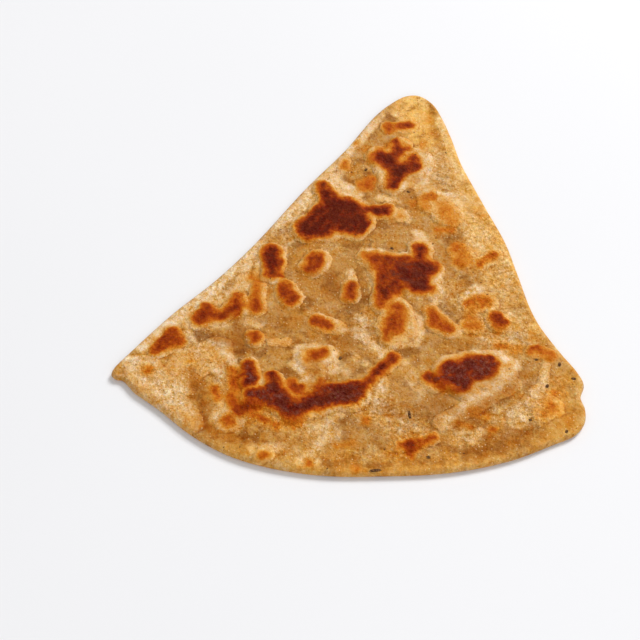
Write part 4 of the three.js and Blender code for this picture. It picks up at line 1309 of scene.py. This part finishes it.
blotches = swing(noise_node(tree, where, 3.4, 3.0, 0.55), 0.16, 0.2)
fine = swing(grained["Speckle"], 0.17, 0.3)
medium = times(swing(crumbs, 0.12), calc(tree, "MULTIPLY_ADD", rough_share, 0.5, 0.5))
specks = noise_node(tree, where, 0.85, 1.0)
clustered = rise(tree, broad, 0.4, 0.6, 0.3, 1)
pale_dots = times(rise(tree, specks, 0.58, 0.74, 0, 0.34), clustered)
pits = rise(tree, specks, 0.4, 0.27, 0, -0.26)
dots = times(total(pale_dots, pits), calc(tree, "MULTIPLY_ADD", rough_share, 0.4, 0.6))
dots = times(dots, rise(tree, dry_and_lit_here, 0.1, 0.9, 1, 0.5))
calm = calc(tree, "MULTIPLY_ADD", buttery_here, -0.5, 1.12)
graininess = times(total(blotches, fine, medium, dots), calm)

darker = calc(tree, "MINIMUM", graininess, 0.0)
lighter = calc(tree, "MAXIMUM", graininess, 0.0)
dough_tint = multiplied(grain_tint(darker, DARK_GRAINS), grain_tint(lighter, LIGHT_GRAINS))
# Painted light and shade on the crumbs: a grain that lightens and darkens every channel alike.
crumb_light_and_shade = total(swing(grained["Speckle"], 0.12, 0.3), swing(crumbs, 0.24))
dough_tint = multiplied(dough_tint, grain_tint(times(crumb_light_and_shade, crumbly_here), PAINTED_LIGHT_GRAINS))
# The scorches' own grain, whose pale specks are partly painted glints.
scorch_grain_and_glint_tint = grain_tint(total(fine, medium, swing(flecks, 0.1)), SCORCH_GRAINS_AND_GLINTS)
tone = multiplied(tone, blend(tree, rise(tree, scorched, 0.5, 0.9), dough_tint, scorch_grain_and_glint_tint))
yellows = swing(noise_node(tree, where, 2.0, 3.0, 0.6), 0.36)
yellows = times(yellows, rise(tree, dry_and_lit_here, 0, 0.9, 1, 0.45))
tone = multiplied(tone, grain_tint(yellows, YELLOW_GRAINS))
# Grits away from the scorches are painted as glints of light.
glints_here = times(grained["Grits"], rise(tree, scorched, 0.4, 0.05, 0, 0.5))
tone = blend(tree, glints_here, tone, GLINT_COLOUR)
tree.links.new(tone, shader.inputs["Base Color"])
print("crust has", len(tree.nodes), "nodes so far")

# %% [markdown]
# ## Gloss and bumps
#
# Dry dough shines less than the rest, and the shine is warm. A little light goes under the surface
# and comes out redder. The finest grains are too small for the mesh, so a bump node tilts the
# surface there for the light only.

# %% Gloss and bumps
gloss = total(rise(tree, dry_and_lit_here, 0.1, 0.8, 0.42, 0.62), swing(grained["Speckle"], 0.06))
tree.links.new(gloss, shader.inputs["Roughness"])
SURFACE = {
    "Specular IOR Level": 0.14, "Specular Tint": colour(255, 180, 120),
    "Subsurface Weight": 0.25, "Subsurface Radius": (1.0, 0.4, 0.15), "Subsurface Scale": 1.0 * MM,
}
for name, value in SURFACE.items():
    shader.inputs[name].default_value = value
rough = total(
    times(grained["Height"], 0.6),
    times(crumbs, calc(tree, "MULTIPLY_ADD", rough_share, 3.0, 0.8)),
    times(flecks, 2.0),
    times(dots, 3.0),
)
bump = add(tree, "ShaderNodeBump", {
    "Height": times(rough, calm), "Strength": 0.8, "Distance": 0.3 * MM,
})
tree.links.new(bump.outputs["Normal"], shader.inputs["Normal"])
dough.materials.append(crust)
print("crust has", len(tree.nodes), "nodes")

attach(bread, "root")
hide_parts("paratha")

# %% [markdown]
# ## Seeds
#
# Carom and cumin seeds were kneaded into the dough and lie pressed into its face. A seed is a
# long ribbed grain. Geometry Nodes place one shape on every point, turned and sized by numbers
# that the points carry, so a new seed is one more line in a list.

# %% Places of the seeds
CAROM = (2.0, 1.3)  # length and width
CUMIN = (4.8, 1.3)
STANDS_OUT = 0.2  # share of a seed's width that stands out of the dough
SEEDS = [  # x, y, direction in degrees, kind
    (22.5, 37.4, -40, CAROM), (15.8, 7.7, -15, CAROM), (76.9, -43.8, 80, CAROM),
    (68.6, -42, 10, CAROM), (81.6, -50, -10, CAROM), (77.2, -72.6, 70, CAROM),
    (64.8, -68.2, 20, CAROM), (71.6, -53.8, 60, CAROM), (28.4, -85, 0, CAROM),
    (-3, -44.4, 60, CAROM), (5.4, 48.6, 60, CAROM), (10, -91.1, 8, CUMIN), (22, -67.6, 100, CUMIN),
]


def inset_of(px, py):
    """Distance from a point to the nearest point of the outline."""
    return np.array([np.hypot(edge[:, 0] - a, edge[:, 1] - b).min() for a, b in zip(px, py)])


seed_x, seed_y, seed_turn = (np.array([s[k] for s in SEEDS], float) for k in range(3))
seed_size = np.array([s[3] for s in SEEDS])
lie = top_height(seed_x, seed_y, inset_of(seed_x, seed_y)) + (STANDS_OUT - 0.5) * seed_size[:, 1]
spots = bpy.data.meshes.new("seeds")
spots.from_pydata(np.column_stack([seed_x - middle[0], seed_y - middle[1], lie]) * MM, [], [])
grey_attribute(spots, "turn", np.radians(seed_turn))
grey_attribute(spots, "length", seed_size[:, 0] * MM)
grey_attribute(spots, "width", seed_size[:, 1] * MM)
seeds = bpy.data.objects.new("seeds", spots)
bpy.context.scene.collection.objects.link(seeds)
print(len(SEEDS), "seeds lie", round(lie.min(), 1), "to", round(lie.max(), 1), "mm up")

# %% [markdown]
# ## Finish of the seeds and the bran
#
# Browned seeds are a dull, mottled dark brown, and flecks of bran are much the same in smaller
# pieces, so one finish in two depths of colour serves both.

# %% Husk finish
def husk_material(name, dark, light, mottle_width):
    """A dull brown husk, mottled from dark to light."""
    material, tree, shader, where = new_material(name)
    grained = use_group(tree, grain, {
        "Vector": where, "Mottle": scale_of(mottle_width), "Speckle": scale_of(mottle_width / 4),
        "Grits": scale_of(mottle_width / 2),
    })
    tone = blend(tree, rise(tree, grained["Mottle"], 0.35, 0.65), dark, light)
    tree.links.new(tone, shader.inputs["Base Color"])
    dull = rise(tree, grained["Speckle"], 0.3, 0.7, 0.5, 0.75)
    tree.links.new(dull, shader.inputs["Roughness"])
    shader.inputs["Specular IOR Level"].default_value = 0.05
    bump = add(tree, "ShaderNodeBump", {
        "Height": grained["Height"], "Strength": 0.5, "Distance": 0.05 * MM,
    })
    tree.links.new(bump.outputs["Normal"], shader.inputs["Normal"])
    return material


seed_husk = husk_material("seed_husk", colour(60, 36, 20), colour(128, 88, 52), 0.6)
bran_husk = husk_material("bran_husk", colour(84, 50, 26), colour(128, 80, 42), 0.5)
print("materials:", [m.name for m in bpy.data.materials])

# %% [markdown]
# ## Geometry Nodes for what is scattered
#
# Both trees below are built from the same few calls. The last helper turns what the nodes make
# into a plain mesh and takes the modifier away, because an export drops instances.

# %% Geometry Nodes helpers
def new_geometry_tree(name, inputs):
    """A Geometry Nodes tree with a geometry input and named number inputs (name: value)."""
    tree = bpy.data.node_groups.new(name, "GeometryNodeTree")
    tree.interface.new_socket("Geometry", in_out="INPUT", socket_type="NodeSocketGeometry")
    for label, value in inputs.items():
        kind = "NodeSocketInt" if isinstance(value, int) else "NodeSocketFloat"
        tree.interface.new_socket(label, in_out="INPUT", socket_type=kind)
    tree.interface.new_socket("Geometry", in_out="OUTPUT", socket_type="NodeSocketGeometry")
    return tree, tree.nodes.new("NodeGroupInput").outputs, tree.nodes.new("NodeGroupOutput").inputs


def grown(obj, tree, values, name):
    """The plain mesh piece that a tree makes on an object, which it takes the place of."""
    modifier = obj.modifiers.new("grow", "NODES")
    modifier.node_group = tree
    for item in tree.interface.items_tree:
        if item.item_type == "SOCKET" and item.in_out == "INPUT" and item.name in values:
            modifier[item.identifier] = values[item.name]
    evaluated = obj.evaluated_get(bpy.context.evaluated_depsgraph_get())
    mesh = bpy.data.meshes.new_from_object(evaluated)
    bpy.data.objects.remove(obj)
    mesh.name = name
    piece = bpy.data.objects.new(name, mesh)
    bpy.context.scene.collection.objects.link(piece)
    return piece


print("node groups so far:", [group.name for group in bpy.data.node_groups])

# %% [markdown]
# ## Shape of a seed
#
# The seed starts as a ball of one unit. Its ribs are a cosine round its long axis: a point of the
# ball is pushed out where the cosine is high. The instance then gets its length and width.

# %% Seeds
SEED_SETTINGS = {"Ribs": 5.0, "Rib depth": 0.14}
tree, t_in, t_out = new_geometry_tree("seeds", SEED_SETTINGS)
ball = add(tree, "GeometryNodeMeshUVSphere", {"Segments": 30, "Rings": 16, "Radius": 0.5})
place = add(tree, "ShaderNodeSeparateXYZ", {0: add(tree, "GeometryNodeInputPosition").outputs[0]})
turn = calc(tree, "ARCTAN2", place.outputs[1], place.outputs[0])
rib = calc(tree, "COSINE", calc(tree, "MULTIPLY", turn, t_in["Ribs"]))
out = calc(tree, "MULTIPLY_ADD", rib, t_in["Rib depth"], 1.0)
ribbed = add(tree, "ShaderNodeVectorMath", {
    0: add(tree, "GeometryNodeInputPosition").outputs[0], "Scale": out,
}, operation="SCALE")
shaped = add(tree, "GeometryNodeSetPosition", {
    "Geometry": ball.outputs["Mesh"], "Position": ribbed.outputs[0],
})
laid = add(tree, "GeometryNodeTransform", {
    "Geometry": shaped.outputs[0], "Rotation": (0, math.pi / 2, 0),
})
smooth = add(tree, "GeometryNodeSetShadeSmooth", {"Geometry": laid.outputs[0]})


def named(name):
    """A number that the points carry, inside the tree."""
    node = add(tree, "GeometryNodeInputNamedAttribute", {"Name": name}, data_type="FLOAT")
    return node.outputs["Attribute"]


width = named("width")
size = add(tree, "ShaderNodeCombineXYZ", {"X": named("length"), "Y": width, "Z": width})
heading_turn = add(tree, "ShaderNodeCombineXYZ", {"Z": named("turn")})
points = add(tree, "GeometryNodeMeshToPoints", {"Mesh": t_in["Geometry"]})
copies = add(tree, "GeometryNodeInstanceOnPoints", {
    "Points": points.outputs[0], "Instance": smooth.outputs[0],
    "Rotation": heading_turn.outputs[0], "Scale": size.outputs[0],
})
real = add(tree, "GeometryNodeRealizeInstances", {"Geometry": copies.outputs[0]})
dressed = add(tree, "GeometryNodeSetMaterial", {"Geometry": real.outputs[0], "Material": seed_husk})
tree.links.new(dressed.outputs[0], t_out["Geometry"])

seeds = grown(seeds, tree, SEED_SETTINGS, "seeds")
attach(seeds, "root")
print("seeds have", len(seeds.data.polygons), "faces")

# %% [markdown]
# ## Bran
#
# Wholewheat dough is full of flecks of bran, under a millimetre long. Geometry Nodes scatter them
# over the upper face with a fixed seed. Each is a small flat grain that lies along the face.

# %% Bran
BRAN_SETTINGS = {"Count per square metre": 7000.0, "Seed": 3, "Length": 0.6 * MM}
tree, t_in, t_out = new_geometry_tree("bran", BRAN_SETTINGS)
facing_up = add(tree, "ShaderNodeSeparateXYZ", {0: add(tree, "GeometryNodeInputNormal").outputs[0]})
is_up = add(tree, "FunctionNodeCompare", {0: facing_up.outputs[2], 1: 0.5},
            data_type="FLOAT", operation="GREATER_THAN")
scattered = add(tree, "GeometryNodeDistributePointsOnFaces", {
    "Mesh": t_in["Geometry"], "Selection": is_up.outputs[0],
    "Density": t_in["Count per square metre"], "Seed": t_in["Seed"],
})
chip = add(tree, "GeometryNodeMeshIcoSphere", {"Radius": 0.5, "Subdivisions": 2})
flat = add(tree, "GeometryNodeTransform", {"Geometry": chip.outputs["Mesh"], "Scale": (1, 0.5, 0.3)})
rounded = add(tree, "GeometryNodeSetShadeSmooth", {"Geometry": flat.outputs[0]})
angle = add(tree, "FunctionNodeRandomValue", {2: 0.0, 3: 2 * math.pi, "Seed": 5}, data_type="FLOAT")
spin = add(tree, "FunctionNodeAxisAngleToRotation", {"Axis": (0, 0, 1), "Angle": angle.outputs[1]})
turned = add(tree, "FunctionNodeRotateRotation", {
    "Rotation": scattered.outputs["Rotation"], "Rotate By": spin.outputs[0],
}, rotation_space="LOCAL")
share = add(tree, "FunctionNodeRandomValue", {2: 0.5, 3: 1.6, "Seed": 6}, data_type="FLOAT")
size = calc(tree, "MULTIPLY", share.outputs[1], t_in["Length"])
copies = add(tree, "GeometryNodeInstanceOnPoints", {
    "Points": scattered.outputs["Points"], "Instance": rounded.outputs[0],
    "Rotation": turned.outputs[0], "Scale": size,
})
real = add(tree, "GeometryNodeRealizeInstances", {"Geometry": copies.outputs[0]})
dressed = add(tree, "GeometryNodeSetMaterial", {"Geometry": real.outputs[0], "Material": bran_husk})
tree.links.new(dressed.outputs[0], t_out["Geometry"])

sown = bpy.data.objects.new("sown", dough.copy())
bpy.context.scene.collection.objects.link(sown)
bran = grown(sown, tree, BRAN_SETTINGS, "bran")
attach(bran, "root")
print("bran has", len(bran.data.polygons), "faces")

# %% [markdown]
# ## Floor and light
#
# The bread lies on a plain pale floor. One large lamp stands behind and to the right, so that the
# blisters cast soft shade towards the camera; a wider, weaker lamp and the pale surroundings fill
# the shade. Large lamps give the soft shadows of a studio.

# %% Floor and light
FLOOR_SIDE = 3.0
FLOOR_COLOURS = (colour(236, 236, 238), colour(238, 238, 240))
SURROUNDINGS = 0.4
LAMPS = {  # name: (direction in degrees from +X, height in degrees, distance, side, watts)
    "key lamp": (50, 46, 2.4, 0.9, 45),
    "fill lamp": (-80, 40, 2.4, 1.6, 16),
}

bpy.ops.mesh.primitive_plane_add(size=FLOOR_SIDE)
floor = bpy.context.object
floor.name = "floor"
paint, tree, shader, where = new_material("floor_paint")
shade = rise(tree, noise_node(tree, where, 300), 0.3, 0.7)
tree.links.new(blend(tree, shade, *FLOOR_COLOURS), shader.inputs["Base Color"])
shader.inputs["Roughness"].default_value = 0.8
floor.data.materials.append(paint)
floor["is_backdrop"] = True

for name, (direction, height, distance, side, watts) in LAMPS.items():
    lamp = bpy.data.lights.new(name, "AREA")
    lamp.size = side
    lamp.energy = watts
    holder = bpy.data.objects.new(name, lamp)
    flat = math.cos(math.radians(height))
    away = Vector((
        flat * math.cos(math.radians(direction)), flat * math.sin(math.radians(direction)),
        math.sin(math.radians(height)),
    ))
    facing = away.to_track_quat("Z", "Y").to_matrix().to_4x4()
    holder.matrix_world = Matrix.Translation(away * distance) @ facing
    bpy.context.scene.collection.objects.link(holder)

world = bpy.data.worlds.new("surroundings")
world.use_nodes = True
background = world.node_tree.nodes["Background"]
background.inputs["Color"].default_value = colour(255, 255, 255)
background.inputs["Strength"].default_value = SURROUNDINGS
bpy.context.scene.world = world
bpy.context.scene.view_settings.view_transform = "Standard"
print("lamps:", list(LAMPS))

# %% [markdown]
# ## Sizes
#
# The boxes of the dressed bread and of the plain solid are both shown. The dressed bread has
# to fill the same box as the plain solid.

# %% Sizes
visual_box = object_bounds()
boxes = {"cad": cad_box, "visual": visual_box}
{name: [list(corner) for corner in box] for name, box in boxes.items()}
print("dressed box in mm", [[round(v / MM, 1) for v in corner] for corner in visual_box])
